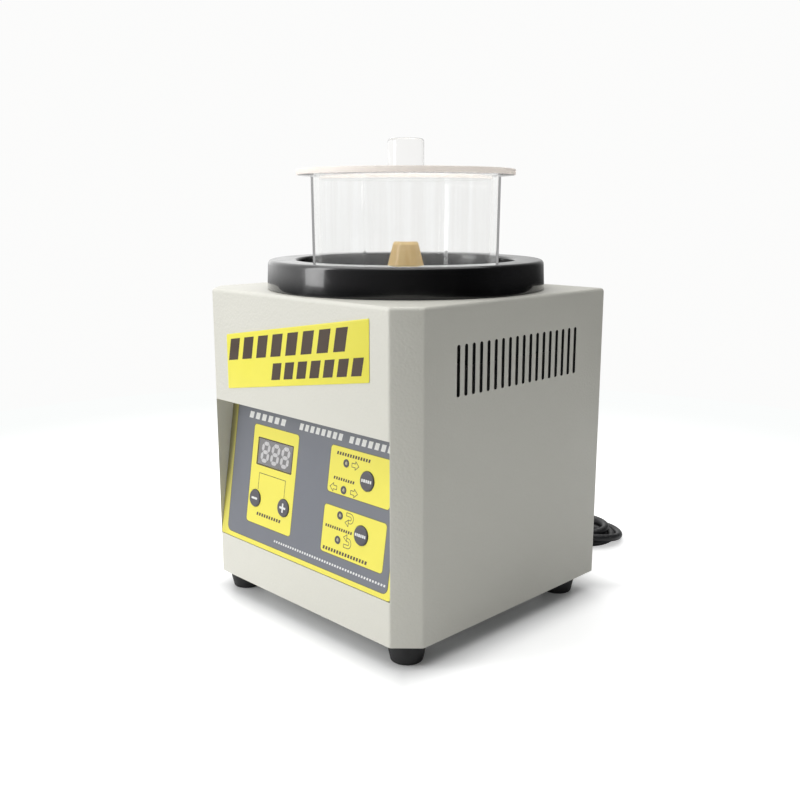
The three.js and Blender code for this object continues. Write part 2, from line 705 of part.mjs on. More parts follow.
function magnetDisc() {
  const bore = SHAFT_RADIUS + GAP;
  return turned([
    [bore, DISC_BOTTOM - 14], [15, DISC_BOTTOM - 14], [15, DISC_BOTTOM], [DISC_RADIUS, DISC_BOTTOM],
    [DISC_RADIUS, DISC_BOTTOM + DISC_THICKNESS], [bore, DISC_BOTTOM + DISC_THICKNESS],
  ], 32);
}

function magnet() {
  const low = DISC_BOTTOM + DISC_THICKNESS + GAP;
  return rod(MAGNET_RADIUS, low, low + MAGNET_HEIGHT, 14);
}

function shaftNut() {
  const low = DISC_BOTTOM + DISC_THICKNESS + GAP;
  return cut(rod(9, low, low + 6, 6), rod(SHAFT_RADIUS + GAP, low - 1, low + 7, 12));
}

function coolingFan() {
  const blades = [];
  for (let i = 0; i < FAN_BLADES; i += 1) {
    const blade = block(10, FAN_RADIUS, -0.8, 0.8, -FAN_HEIGHT / 2 + 0.5, FAN_HEIGHT / 2 - 0.5);
    blades.push(blade.rotateX(0.5).rotateZ((i / FAN_BLADES) * Math.PI * 2)
      .translate(0, 0, FAN_BOTTOM + FAN_HEIGHT / 2));
  }
  const hub = rod(12, FAN_BOTTOM, FAN_BOTTOM + FAN_HEIGHT, 14);
  const bore = rod(SHAFT_RADIUS + GAP, FAN_BOTTOM - 5, FAN_BOTTOM + FAN_HEIGHT + 5, 12);
  return cut(join(hub, ...blades), bore);
}

piece('motor_bracket', motorBracket(), finish(0x17181a, 0.5), onAxis);
piece('motor_housing', motorHousing(), finish(0x8f9396, 0.5, 0.6), onAxis);
piece('motor_stator', tube(31, MOTOR_RADIUS - 3 - GAP, 142, 196, 24), finish(0x6d6a66, 0.6, 0.5), onAxis);
piece('motor_end_cap', motorEndCap(), finish(0x8f9396, 0.5, 0.6), onAxis);
piece('motor_rotor', tube(SHAFT_RADIUS + GAP, 30, 143, 195, 20), finish(0x7c7f82, 0.4, 0.8), onAxis);
piece('motor_shaft', rod(SHAFT_RADIUS, SHAFT_BOTTOM, SHAFT_TOP, 16), finish(STEEL, 0.25, 1), onAxis);
piece('upper_bearing', bearing(UPPER_BEARING), finish(STEEL, 0.2, 1), onAxis);
piece('lower_bearing', bearing(LOWER_BEARING), finish(STEEL, 0.2, 1), onAxis);
piece('magnet_disc', magnetDisc(), finish(0xbfc2c4, 0.35, 0.9), onAxis);
piece('shaft_nut', shaftNut(), finish(STEEL, 0.3, 1), onAxis);
piece('cooling_fan', coolingFan(), finish(0x202122, 0.5), onAxis);
for (let i = 0; i < MAGNET_COUNT; i += 1) {
  const angle = (i / MAGNET_COUNT) * Math.PI * 2;
  piece(`magnet_${i + 1}`, magnet(), finish(0xc9cbcc, 0.2, 1), onAxis)
    .position.set(MAGNET_CIRCLE * Math.cos(angle), MAGNET_CIRCLE * Math.sin(angle), 0);
}

// ---------------------------------------------------------------------------------------------
// Mains parts in the base and on the back panel
// ---------------------------------------------------------------------------------------------

const BASE_TOP = CASE_BOTTOM + GAP + 2 + GAP;

function runCapacitor() {
  return turned([
    [0, BASE_TOP], [17, BASE_TOP], [17, BASE_TOP + 60], [15, BASE_TOP + 62], [6, BASE_TOP + 62],
    [6, BASE_TOP + 68], [0, BASE_TOP + 68],
  ], 18);
}

function transformer() {
  const core = block(-24, 24, -8, 8, BASE_TOP, BASE_TOP + 40);
  const coil = block(-15, 15, -20, 20, BASE_TOP + 7, BASE_TOP + 33);
  const ears = block(-32, 32, -7, 7, BASE_TOP, BASE_TOP + 1.5);
  return join(core, coil, ears);
}

function rockerHousing() {
  const bezel = block(-7.6, 7.6, REAR_FACE + GAP, REAR_FACE + 2.3, -10.6, 10.6);
  const body = block(-6.5, 6.5, REAR_FACE - 14, REAR_FACE + 1, -9.5, 9.5);
  const well = block(-5.1, 5.1, REAR_FACE - 9, REAR_FACE + 5, -8.5, 8.5);
  return cut(join(bezel, body), well);
}

// Drawn about its pivot, with one half pushed in.
function rockerKey() {
  const shape = shapeOf([[-2.5, -3], [2.5, -3], [7.4, 0.6], [7.4, 5], [0, 3.5], [-7.4, 5], [-7.4, 0.6]]);
  const turn = new THREE.Matrix4().makeBasis(
    new THREE.Vector3(0, 0, 1), new THREE.Vector3(0, 1, 0), new THREE.Vector3(-1, 0, 0));
  return extrude(shape, 9.4).translate(0, 0, -4.7).applyMatrix4(turn);
}

function fuseHolder() {
  return turnedBack([
    [4.3, -26], [5.8, -26], [5.8, GAP], [8, GAP], [8, 2.2], [4.3, 2.2],
  ], 16);
}

function fuseCap() {
  return turnedBack([
    [0, -5], [3.9, -5], [3.9, 2.5], [6.6, 2.5], [6.6, FUSE_CAP_REACH - 0.8], [5.8, FUSE_CAP_REACH],
    [0, FUSE_CAP_REACH],
  ], 16);
}

function strainRelief() {
  return turnedBack([
    [0, -8], [6, -8], [6, GAP], [9, GAP], [9, 3.2], [6.6, 4.2], [4.9, GLAND_LENGTH], [0, GLAND_LENGTH],
  ], 16);
}

piece('run_capacitor', runCapacitor(), finish(0xd8d8d2, 0.5)).position.set(-84, 62, 0);
piece('transformer', transformer(), finish(0x6d6a66, 0.6, 0.4)).position.set(70, -40, 0);
piece('rocker_housing', rockerHousing(), finish(BLACK_GLOSS, 0.4)).position.set(SWITCH_X, 0, SWITCH_Z);
const rocker = piece('rocker_key', rockerKey(), finish(0x1a1a1a, 0.35));
rocker.position.set(SWITCH_X, SWITCH_PIVOT_Y, SWITCH_Z);
rocker.rotation.x = SWITCH_TILT;
piece('fuse_holder', fuseHolder(), finish(BLACK_GLOSS, 0.4)).position.set(FUSE_X, REAR_FACE, FUSE_Z);
piece('fuse_cap', fuseCap(), finish(0x1a1a1a, 0.4)).position.set(FUSE_X, REAR_FACE, FUSE_Z);
const fuseLink = turnedBack([[0, -25], [2.5, -25], [2.5, -5.3], [0, -5.3]], 12);
piece('fuse_link', fuseLink, finish(0xcfd2cf, 0.2)).position.set(FUSE_X, REAR_FACE, FUSE_Z);
piece('strain_relief', strainRelief(), finish(BLACK_RUBBER, 0.7)).position.set(GLAND_X, REAR_FACE, GLAND_Z);

// ---------------------------------------------------------------------------------------------
// Mains cord: the lead, an oval coil, the tail and the plug, lying on the bench behind the case
// ---------------------------------------------------------------------------------------------

function cordTube(route) {
  const curve = new THREE.CatmullRomCurve3(route.map((p) => new THREE.Vector3(...p)));
  const section = new THREE.Shape();
  for (let i = 0; i < CORD_SIDES; i += 1) {
    const angle = ((i + 0.5) / CORD_SIDES) * Math.PI * 2;
    const x = CORD_RADIUS * Math.cos(angle);
    const y = CORD_RADIUS * Math.sin(angle);
    if (i === 0) section.moveTo(x, y);
    else section.lineTo(x, y);
  }
  const steps = Math.max(6, Math.round(curve.getLength() / CORD_STEP) * 2);
  return new THREE.ExtrudeGeometry(section, { steps, extrudePath: curve, bevelEnabled: false });
}

function ovalOutline(radius, steps) {
  const points = [];
  for (const [x, from] of [[COIL_RIGHT, -90], [COIL_LEFT, 90]]) {
    for (let i = 0; i <= steps; i += 1) {
      const angle = THREE.MathUtils.degToRad(from + (180 * i) / steps);
      points.push([x + radius * Math.cos(angle), COIL_Y + radius * Math.sin(angle)]);
    }
  }
  return points;
}

function cordCoil() {
  const outside = prismZ(ovalOutline(COIL_OUTER_RADIUS, 10), GAP, GAP + COIL_HEIGHT);
  return cut(outside, prismZ(ovalOutline(COIL_INNER_RADIUS, 8), -5, 30));
}

// A moulded three-pin plug that lies on its side, drawn with the cord entering at its origin.
function mainsPlug() {
  const grip = new THREE.CylinderGeometry(9.5, 5, 24, 16).rotateZ(-Math.PI / 2).translate(14, 0, 0);
  const head = block(25, 38, -14, 14, -10.2, 10.2);
  const live = block(37, 56, -7.1, -5.6, 0.6, 6.9);
  const neutral = block(37, 56, 5.6, 7.1, 0.6, 6.9);
  const earth = new THREE.CylinderGeometry(2.4, 2.4, 22, 12).rotateZ(Math.PI / 2).translate(48, 0, -5.6);
  return join(grip, head, live, neutral, earth);
}

piece('power_cord', cordTube(LEAD_ROUTE), finish(BLACK_RUBBER, 0.6));
piece('cord_coil', cordCoil(), finish(BLACK_RUBBER, 0.6));
piece('power_cord_tail', cordTube(TAIL_ROUTE), finish(BLACK_RUBBER, 0.6));
const plug = piece('plug', mainsPlug(), finish(BLACK_RUBBER, 0.5));
plug.position.set(PLUG.x, PLUG.y, PLUG.z);
plug.rotation.z = PLUG.turn;

export default machine;
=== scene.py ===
"""Bench-top magnetic tumbler: the finished look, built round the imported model.

Every length in the making of a piece is in millimetres and is turned into metres as the mesh is made.
"""

import math

import bmesh
import bpy
from mathutils import Matrix, Vector


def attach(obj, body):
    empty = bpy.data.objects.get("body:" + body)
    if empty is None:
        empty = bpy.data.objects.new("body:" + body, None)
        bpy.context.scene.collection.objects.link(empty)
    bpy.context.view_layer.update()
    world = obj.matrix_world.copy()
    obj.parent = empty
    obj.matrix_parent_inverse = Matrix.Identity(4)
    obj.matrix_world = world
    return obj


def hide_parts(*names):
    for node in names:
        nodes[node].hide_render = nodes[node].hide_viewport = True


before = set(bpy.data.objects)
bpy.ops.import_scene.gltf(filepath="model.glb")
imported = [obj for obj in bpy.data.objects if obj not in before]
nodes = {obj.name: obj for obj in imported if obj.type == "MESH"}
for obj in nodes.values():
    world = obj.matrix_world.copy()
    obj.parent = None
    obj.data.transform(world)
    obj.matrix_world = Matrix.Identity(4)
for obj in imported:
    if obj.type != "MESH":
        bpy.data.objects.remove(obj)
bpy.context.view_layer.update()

MM = 0.001
AXIS_Y = 1.6  # the tumbling axis, a little behind the case's middle
CASE_HALF_WIDTH = 120.0
FRONT_Y = -116.4
BACK_Y = 109.6
REAR_FACE = 107.8  # the back sheet's outer face, set in from the case's rear edge
CASE_LOW = 17.0
CASE_TOP = 258.0
CASE_CHAMFER = 17.0
CASE_CORNER = 3.6  # the outside radius of an upright fold
SHEET = 1.5
RECESS_LOW = 51.0
RECESS_TOP = 167.0
RECESS_DEPTH = 17.5
PANEL_HALF = 103.0
PANEL_TILT = math.atan2(RECESS_DEPTH, RECESS_TOP - RECESS_LOW)


# ---------------------------------------------------------------------------------------------
# Camera
# ---------------------------------------------------------------------------------------------

CAMERA_PLACE = (0.5488, -0.5444, 0.3243)
CAMERA_TURN = math.radians(45.49)  # round to the right from straight in front
CAMERA_RISE = math.radians(11.72)  # how steeply it looks down
CAMERA_LENS = 42.54
SENSOR_WIDTH = 36.0


def place_camera():
    data = bpy.data.cameras.new("camera")
    data.lens = CAMERA_LENS
    data.sensor_width = SENSOR_WIDTH
    camera = bpy.data.objects.new("camera", data)
    bpy.context.scene.collection.objects.link(camera)
    level = math.cos(CAMERA_RISE)
    back = Vector((math.sin(CAMERA_TURN) * level, -math.cos(CAMERA_TURN) * level, math.sin(CAMERA_RISE)))
    camera.location = CAMERA_PLACE
    camera.rotation_mode = "QUATERNION"
    camera.rotation_quaternion = (-back).to_track_quat("-Z", "Y")
    bpy.context.scene.camera = camera


place_camera()


# ---------------------------------------------------------------------------------------------
# Making and placing pieces
# ---------------------------------------------------------------------------------------------

def ease(t):
    return t * t * (3 - 2 * t)


def mesh_from(bm, name, sharp=35.0):
    """Closes a mesh drawn in millimetres, turns it into metres and shades it smooth but for its edges."""
    bmesh.ops.remove_doubles(bm, verts=bm.verts, dist=1e-4)
    bmesh.ops.recalc_face_normals(bm, faces=bm.faces)
    mesh = bpy.data.meshes.new(name)
    bm.to_mesh(mesh)
    bm.free()
    mesh.transform(Matrix.Scale(MM, 4))
    mesh.shade_smooth()
    mesh.set_sharp_from_angle(angle=math.radians(sharp))
    return mesh


def add_piece(name, mesh, material, body="case", stands_for=()):
    mesh.materials.clear()
    mesh.materials.append(material)
    piece = bpy.data.objects.new(name, mesh)
    bpy.context.scene.collection.objects.link(piece)
    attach(piece, body)
    if stands_for:
        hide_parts(*stands_for)
    return piece


def filleted(corners, steps=5, closed=True):
    """An outline whose (x, y, radius) corners are rounded."""
    result = []
    count = len(corners)
    for i, (x, y, radius) in enumerate(corners):
        here = Vector((x, y))
        if radius <= 0 or (not closed and i in (0, count - 1)):
            result.append(here)
            continue
        before = (Vector(corners[i - 1][:2]) - here).normalized()
        after = (Vector(corners[(i + 1) % count][:2]) - here).normalized()
        half = before.angle(after) / 2
        middle = here + (before + after).normalized() * (radius / math.sin(half))
        start = here + before * (radius / math.tan(half)) - middle
        sweep = (math.pi - 2 * half) * (1 if before.cross(after) < 0 else -1)
        for k in range(steps + 1):
            result.append(middle + Matrix.Rotation(sweep * k / steps, 2) @ start)
    return result


def rounded_box(across, up, width, height, radius, steps=6):
    w, h = width / 2, height / 2
    return filleted([(across - w, up - h, radius), (across + w, up - h, radius),
                     (across + w, up + h, radius), (across - w, up + h, radius)], steps)


def circle(across, up, radius, steps=40):
    return [Vector((across + radius * math.cos(2 * math.pi * k / steps),
                    up + radius * math.sin(2 * math.pi * k / steps))) for k in range(steps)]


def slot_outline(across, up, width, height, steps=8):
    return rounded_box(across, up, width, height, min(width, height) / 2 - 0.01, steps)


def bridge(bm, lower, upper):
    """Skins between two rings of points, either of which may be a single point."""
    count = max(len(lower), len(upper))
    for k in range(count):
        m = (k + 1) % count
        corners = []
        for ring, place in ((lower, k), (lower, m), (upper, m), (upper, k)):
            vert = ring[place % len(ring)]
            if vert not in corners:
                corners.append(vert)
        if len(corners) > 2:
            bm.faces.new(corners)


def skin_rings(bm, rings, closed=False):
    made = [[bm.verts.new(point) for point in ring] for ring in rings]
    for lower, upper in zip(made, made[1:]):
        bridge(bm, lower, upper)
    if closed:
        bridge(bm, made[-1], made[0])
    else:
        for ring in (made[0], made[-1]):
            if len(ring) > 2:
                bm.faces.new(ring)


def turned(bm, profile, steps=96, centre=(0, 0), closed=False):
    """A turned shape about an upright axis from (radius, height) points."""
    rings = []
    for radius, height in profile:
        if radius < 1e-6:
            rings.append([(centre[0], centre[1], height)])
        else:
            rings.append([(x, y, height) for x, y in circle(*centre, radius, steps)])
    skin_rings(bm, rings, closed)


def turned_mesh(name, corners, steps=96, centre=(0, 0), closed=False, fillet_steps=4, placing=None):
    bm = bmesh.new()
    turned(bm, filleted(corners, fillet_steps, closed), steps, centre, closed)
    if placing is not None:
        bm.transform(placing)
    return mesh_from(bm, name)


def add_turned(name, corners, material, body="case", slot=None, stands_for=(), **shape):
    add_piece(name, turned_mesh(name, corners, **shape), material, body, stands_for)


def block(bm, low, high):
    made = bmesh.ops.create_cube(bm, size=1.0)["verts"]
    low, high = Vector(low), Vector(high)
    size = high - low
    bmesh.ops.transform(bm, verts=made, matrix=Matrix.Translation((low + high) / 2)
                        @ Matrix.Diagonal((*size, 1.0)))
    return made


def prism(bm, outline, low, high, placing=None):
    """An outline in X and Y, standing from one height to another."""
    before = set(bm.verts)
    skin_rings(bm, [[(x, y, low) for x, y in outline], [(x, y, high) for x, y in outline]])
    if placing is not None:
        bmesh.ops.transform(bm, verts=[v for v in bm.verts if v not in before], matrix=placing)


def cut_sheet(name, outlines, low, high, edge=0.0, placing=None):
    """A flat piece from closed outlines: an outline inside another is a hole. It lies from low to high."""
    curve = bpy.data.curves.new(name, "CURVE")
    curve.dimensions = "2D"
    curve.fill_mode = "BOTH"
    for outline in outlines:
        spline = curve.splines.new("POLY")
        spline.points.add(len(outline) - 1)
        for point, (x, y) in zip(spline.points, outline):
            point.co = (x, y, 0, 1)
        spline.use_cyclic_u = True
    curve.extrude = (high - low) / 2 - edge
    curve.bevel_depth = edge
    curve.bevel_resolution = 1
    curve.offset = -edge
    drawn = bpy.data.objects.new(name, curve)
    bpy.context.scene.collection.objects.link(drawn)
    seen = drawn.evaluated_get(bpy.context.evaluated_depsgraph_get())
    flat = bpy.data.meshes.new_from_object(seen)
    bpy.data.objects.remove(drawn)
    bpy.data.curves.remove(curve)
    bm = bmesh.new()
    bm.from_mesh(flat)
    bpy.data.meshes.remove(flat)
    bm.transform(Matrix.Translation((0, 0, (low + high) / 2)))
    if placing is not None:
        bm.transform(placing)
    return mesh_from(bm, name)


def carve(base, tools):
    """Applies boolean steps, each an (operation, mesh) pair, to a mesh and returns the result."""
    piece = bpy.data.objects.new("carved", base)
    bpy.context.scene.collection.objects.link(piece)
    helpers = []
    for operation, mesh in tools:
        helper = bpy.data.objects.new("tool", mesh)
        bpy.context.scene.collection.objects.link(helper)
        step = piece.modifiers.new(operation, "BOOLEAN")
        step.operation = operation
        step.object = helper
        step.solver = "EXACT"
        helpers.append(helper)
    result = bpy.data.meshes.new_from_object(piece.evaluated_get(bpy.context.evaluated_depsgraph_get()))
    for helper in helpers:
        bpy.data.objects.remove(helper)
    bpy.data.objects.remove(piece)
    return result


def tool_mesh(draw):
    bm = bmesh.new()
    draw(bm)
    bmesh.ops.recalc_face_normals(bm, faces=bm.faces)
    mesh = bpy.data.meshes.new("tool")
    bm.to_mesh(mesh)
    bm.free()
    return mesh


def soften(piece, width, segments=2, angle=40):
    """A small round along every hard edge."""
    rounding = piece.modifiers.new("edge_round", "BEVEL")
    rounding.width = width * MM
    rounding.segments = segments
    rounding.limit_method = "ANGLE"
    rounding.angle_limit = math.radians(angle)
    rounding.harden_normals = True


FACING_FRONT = Matrix.Rotation(math.pi / 2, 4, "X")  # a flat piece stood up, its face towards -Y
FACING_BACK = Matrix.Rotation(math.pi, 4, "Z") @ FACING_FRONT
FACING_SIDE = Matrix(((0, 0, 1, 0), (1, 0, 0, 0), (0, 1, 0, 0), (0, 0, 0, 1)))  # drawn in Y and Z, facing +X
ON_PANEL = Matrix.Translation((0, FRONT_Y, RECESS_LOW)) @ Matrix.Rotation(-PANEL_TILT, 4, "X") @ FACING_FRONT


def out_of_back(x, z):
    """Lays down a piece turned about an upright axis, so that it stands out of the back sheet."""
    return Matrix.Translation((x, REAR_FACE, z)) @ Matrix.Rotation(-math.pi / 2, 4, "X")


# ---------------------------------------------------------------------------------------------
# Shader groups
# ---------------------------------------------------------------------------------------------

def shader_group(name, inputs, outputs):
    group = bpy.data.node_groups.new(name, "ShaderNodeTree")
    for label, kind, value in inputs:
        made = group.interface.new_socket(label, in_out="INPUT", socket_type=kind)
        if value is not None:
            made.default_value = value
    for label, kind in outputs:
        group.interface.new_socket(label, in_out="OUTPUT", socket_type=kind)
    return group, group.nodes.new("NodeGroupInput"), group.nodes.new("NodeGroupOutput")


def noise(tree, vector, scale, detail=3.0, roughness=0.55, distortion=0.0):
    made = tree.nodes.new("ShaderNodeTexNoise")
    made.inputs["Detail"].default_value = detail
    made.inputs["Roughness"].default_value = roughness
    made.inputs["Distortion"].default_value = distortion
    tree.links.new(vector, made.inputs["Vector"])
    if isinstance(scale, (int, float)):
        made.inputs["Scale"].default_value = scale
    else:
        tree.links.new(scale, made.inputs["Scale"])
    return made.outputs["Fac"]


def math_node(tree, operation, first, second=None, clamp=False):
    made = tree.nodes.new("ShaderNodeMath")
    made.operation = operation
    made.use_clamp = clamp
    for socket, value in zip(made.inputs, (first, second)):
        if value is None:
            continue
        if isinstance(value, (int, float)):
            socket.default_value = value
        else:
            tree.links.new(value, socket)
    return made.outputs[0]


def spread(tree, value, low, high, to_low=0.0, to_high=1.0):
    made = tree.nodes.new("ShaderNodeMapRange")
    made.interpolation_type = "SMOOTHSTEP"
    for label, given in (("From Min", low), ("From Max", high), ("To Min", to_low), ("To Max", to_high)):
        made.inputs[label].default_value = given
    tree.links.new(value, made.inputs["Value"])
    return made.outputs["Result"]


def make_coat_texture():
    """Orange-peel bumps of a baked powder coat, and a faint cloudiness in its colour."""
    group, given, put = shader_group("coat_texture", [("Vector", "NodeSocketVector", None),
                                                      ("Size", "NodeSocketFloat", 700.0)],
                                     [("Height", "NodeSocketFloat"), ("Cloud", "NodeSocketFloat")])
    peel = noise(group, given.outputs["Vector"], given.outputs["Size"], 2.0, 0.45, 0.3)
    cells = group.nodes.new("ShaderNodeTexVoronoi")
    cells.feature = "SMOOTH_F1"
    cells.inputs["Smoothness"].default_value = 0.6
    group.links.new(given.outputs["Vector"], cells.inputs["Vector"])
    group.links.new(math_node(group, "MULTIPLY", given.outputs["Size"], 0.8), cells.inputs["Scale"])
    mixed = math_node(group, "ADD", math_node(group, "MULTIPLY", peel, 0.6),
                      math_node(group, "MULTIPLY", cells.outputs["Distance"], 0.55))
    group.links.new(mixed, put.inputs["Height"])
    group.links.new(noise(group, given.outputs["Vector"], 14.0, 3.0), put.inputs["Cloud"])
    return group


def make_moulded_grain():
    """The fine even grain of a moulded plastic or rubber, with slow shading over it."""
    group, given, put = shader_group("moulded_grain", [("Vector", "NodeSocketVector", None),
                                                       ("Size", "NodeSocketFloat", 2500.0)],
                                     [("Height", "NodeSocketFloat"), ("Shade", "NodeSocketFloat")])
    grain = noise(group, given.outputs["Vector"], given.outputs["Size"], 4.0, 0.6)
    group.links.new(grain, put.inputs["Height"])
    group.links.new(noise(group, given.outputs["Vector"], 45.0, 2.0), put.inputs["Shade"])
    return group


def make_brushed_lines():
    """Fine lines drawn out one way, as on rolled or turned metal."""
    group, given, put = shader_group("brushed_lines", [("Vector", "NodeSocketVector", None),
                                                       ("Stretch", "NodeSocketVector", (1.0, 1.0, 30.0)),
                                                       ("Size", "NodeSocketFloat", 120.0)],
                                     [("Height", "NodeSocketFloat"), ("Streak", "NodeSocketFloat")])
    drawn = group.nodes.new("ShaderNodeVectorMath")
    drawn.operation = "MULTIPLY"
    group.links.new(given.outputs["Vector"], drawn.inputs[0])
    group.links.new(given.outputs["Stretch"], drawn.inputs[1])
    lines = noise(group, drawn.outputs["Vector"], given.outputs["Size"], 5.0, 0.7)
    group.links.new(lines, put.inputs["Height"])
    group.links.new(spread(group, lines, 0.35, 0.65), put.inputs["Streak"])
    return group


def make_handling():
    """Soft patches left by hands and cloths, and a few fine hairline scratches."""
    group, given, put = shader_group("handling", [("Vector", "NodeSocketVector", None),
                                                  ("Size", "NodeSocketFloat", 25.0)],
                                     [("Smudge", "NodeSocketFloat"), ("Scratch", "NodeSocketFloat")])
    patches = noise(group, given.outputs["Vector"], given.outputs["Size"], 4.0, 0.6, 0.8)
    group.links.new(spread(group, patches, 0.38, 0.68), put.inputs["Smudge"])
    stretched = group.nodes.new("ShaderNodeMapping")
    stretched.inputs["Rotation"].default_value = (0.4, 0.7, 0.3)
    stretched.inputs["Scale"].default_value = (9.0, 240.0, 240.0)
    group.links.new(given.outputs["Vector"], stretched.inputs["Vector"])
    hair = noise(group, stretched.outputs["Vector"], 6.0, 2.0)
    group.links.new(spread(group, hair, 0.70, 0.76), put.inputs["Scratch"])
    return group


def make_settled_dust():
    """Dust that settles where a surface looks up."""
    group, given, put = shader_group("settled_dust", [("Vector", "NodeSocketVector", None),
                                                      ("Amount", "NodeSocketFloat", 0.5)],
                                     [("Dust", "NodeSocketFloat")])
    geometry = group.nodes.new("ShaderNodeNewGeometry")
    split = group.nodes.new("ShaderNodeSeparateXYZ")
    group.links.new(geometry.outputs["Normal"], split.inputs[0])
    upward = spread(group, split.outputs["Z"], 0.35, 1.0)
    specks = spread(group, noise(group, given.outputs["Vector"], 420.0, 4.0, 0.7), 0.46, 0.72)
    group.links.new(math_node(group, "MULTIPLY", math_node(group, "MULTIPLY", upward, specks),
                              given.outputs["Amount"], clamp=True), put.inputs["Dust"])
    return group


COAT = make_coat_texture()
GRAIN = make_moulded_grain()
BRUSHED = make_brushed_lines()
HANDLING = make_handling()
DUST = make_settled_dust()


# ---------------------------------------------------------------------------------------------
# Materials
# ---------------------------------------------------------------------------------------------

class Finish:
    """One material: its shader, and the steps that lay detail over its colour, gloss and surface."""

    def __init__(self, name, colour, roughness, metallic=0.0):
        self.material = bpy.data.materials.new(name)
        self.material.use_nodes = True
        self.tree = self.material.node_tree
        self.shader = self.tree.nodes["Principled BSDF"]
        self.place = self.tree.nodes.new("ShaderNodeTexCoord").outputs["Object"]
        self.colour = colour
        self.roughness = roughness
        self.last_colour = None
        self.last_roughness = None
        self.last_normal = None
        self.shader.inputs["Base Color"].default_value = (*colour, 1.0)
        self.shader.inputs["Roughness"].default_value = roughness
        self.shader.inputs["Metallic"].default_value = metallic

    def set(self, **values):
        for label, value in values.items():
            self.shader.inputs[label.replace("_", " ")].default_value = value
        return self

    def group(self, source, **values):
        made = self.tree.nodes.new("ShaderNodeGroup")
        made.node_tree = source
        self.tree.links.new(self.place, made.inputs["Vector"])
        for label, value in values.items():
            made.inputs[label].default_value = value
        return made.outputs

    def tint(self, mask, towards, amount):
        """Mixes another colour in where a mask is high."""
        mix = self.tree.nodes.new("ShaderNodeMix")
        mix.data_type = "RGBA"
        self.tree.links.new(math_node(self.tree, "MULTIPLY", mask, amount), mix.inputs["Factor"])
        if self.last_colour is None:
            mix.inputs["A"].default_value = (*self.colour, 1.0)
        else:
            self.tree.links.new(self.last_colour, mix.inputs["A"])
        mix.inputs["B"].default_value = (*towards, 1.0)
        self.last_colour = mix.outputs["Result"]
        self.tree.links.new(self.last_colour, self.shader.inputs["Base Color"])
        return self

    def streak(self, stretch, size, towards, amount):
        """Mixes another colour in along drawn-out lines."""
        return self.tint(self.group(BRUSHED, Stretch=stretch, Size=size)["Streak"], towards, amount)

    def gloss(self, mask, change):
        """Adds to the roughness where a mask is high."""
        base = self.roughness if self.last_roughness is None else self.last_roughness
        added = math_node(self.tree, "MULTIPLY", mask, change)
        self.last_roughness = math_node(self.tree, "ADD", added, base, True)
        self.tree.links.new(self.last_roughness, self.shader.inputs["Roughness"])
        return self

    def bump(self, height, depth, strength=1.0):
        made = self.tree.nodes.new("ShaderNodeBump")
        made.inputs["Distance"].default_value = depth * MM
        made.inputs["Strength"].default_value = strength
        self.tree.links.new(height, made.inputs["Height"])
        if self.last_normal is not None:
            self.tree.links.new(self.last_normal, made.inputs["Normal"])
        self.last_normal = made.outputs["Normal"]
        self.tree.links.new(self.last_normal, self.shader.inputs["Normal"])
        return self


def scaled(colour, factor):
    return tuple(min(1.0, c * factor) for c in colour)


def painted(name, colour, roughness=0.42, peel=0.11, size=620.0, dust=0.10):
    made = Finish(name, colour, roughness)
    coat = made.group(COAT, Size=size)
    hands = made.group(HANDLING, Size=18.0)
    made.tint(coat["Cloud"], scaled(colour, 0.94), 0.7)
    made.tint(made.group(DUST, Amount=dust)["Dust"], (0.62, 0.60, 0.55), 1.0)
    made.gloss(hands["Smudge"], 0.08).bump(coat["Height"], peel)
    return made


def moulded(name, colour, roughness=0.45, grain=0.02, size=2600.0, dust=0.12):
    made = Finish(name, colour, roughness)
    fine = made.group(GRAIN, Size=size)
    hands = made.group(HANDLING, Size=40.0)
    made.tint(fine["Shade"], scaled(colour, 0.82), 0.6)
    made.tint(hands["Scratch"], scaled(colour, 1.35), 0.25)
    made.tint(made.group(DUST, Amount=dust)["Dust"], (0.55, 0.54, 0.50), 1.0)
    made.gloss(hands["Smudge"], 0.10).bump(fine["Height"], grain)
    return made


def metal(name, colour, roughness=0.32, stretch=(1.0, 1.0, 30.0), size=120.0, lines=0.012):
    made = Finish(name, colour, roughness, 1.0)
    drawn = made.group(BRUSHED, Stretch=stretch, Size=size)
    hands = made.group(HANDLING, Size=30.0)
    made.tint(drawn["Streak"], scaled(colour, 0.84), 0.7)
    made.gloss(hands["Smudge"], 0.12).bump(drawn["Height"], lines)
    return made


GLOW_AFTER_BOUNCES = 4.5  # bounces inside a clear wall, past which the wall glows with painted light
# how strongly a clear wall glows with that painted light
PAINTED_BOUNCE_GLOW = 0.18


def clear(name, colour, roughness=0.02):
    """Clear moulded acrylic, with the faint haze of washing. After a few bounces inside a wall it glows
    faintly: painted light.
    """
    made = Finish(name, colour, roughness)
    made.set(Transmission_Weight=1.0, IOR=1.49, Emission_Strength=PAINTED_BOUNCE_GLOW)
    bounces = made.tree.nodes.new("ShaderNodeLightPath").outputs["Ray Depth"]
    deep = math_node(made.tree, "GREATER_THAN", bounces, GLOW_AFTER_BOUNCES)
    made.tree.links.new(deep, made.shader.inputs["Emission Color"])
    made.material.cycles.emission_sampling = "NONE"
    hands = made.group(HANDLING, Size=22.0)
    made.tint(hands["Smudge"], scaled(colour, 0.985), 1.0)
    made.gloss(hands["Smudge"], 0.05)
    made.bump(made.group(COAT, Size=55.0)["Height"], 0.05, 0.35)
    return made


def printed(name, colour, roughness=0.38):
    """Ink under a thin clear film."""
    made = Finish(name, colour, roughness)
    fine = made.group(GRAIN, Size=1800.0)
    hands = made.group(HANDLING, Size=30.0)
    made.tint(fine["Shade"], scaled(colour, 0.93), 0.8)
    made.tint(hands["Scratch"], scaled(colour, 1.12), 0.3)
    made.gloss(hands["Smudge"], 0.12).bump(fine["Height"], 0.008)
    return made


# where the painted shade under the recess's left wall lies, in metres across and up the machine
SHADE_LEFT, SHADE_RIGHT = -0.101, -0.088
SHADE_LOW, SHADE_HIGH = 0.046, 0.120


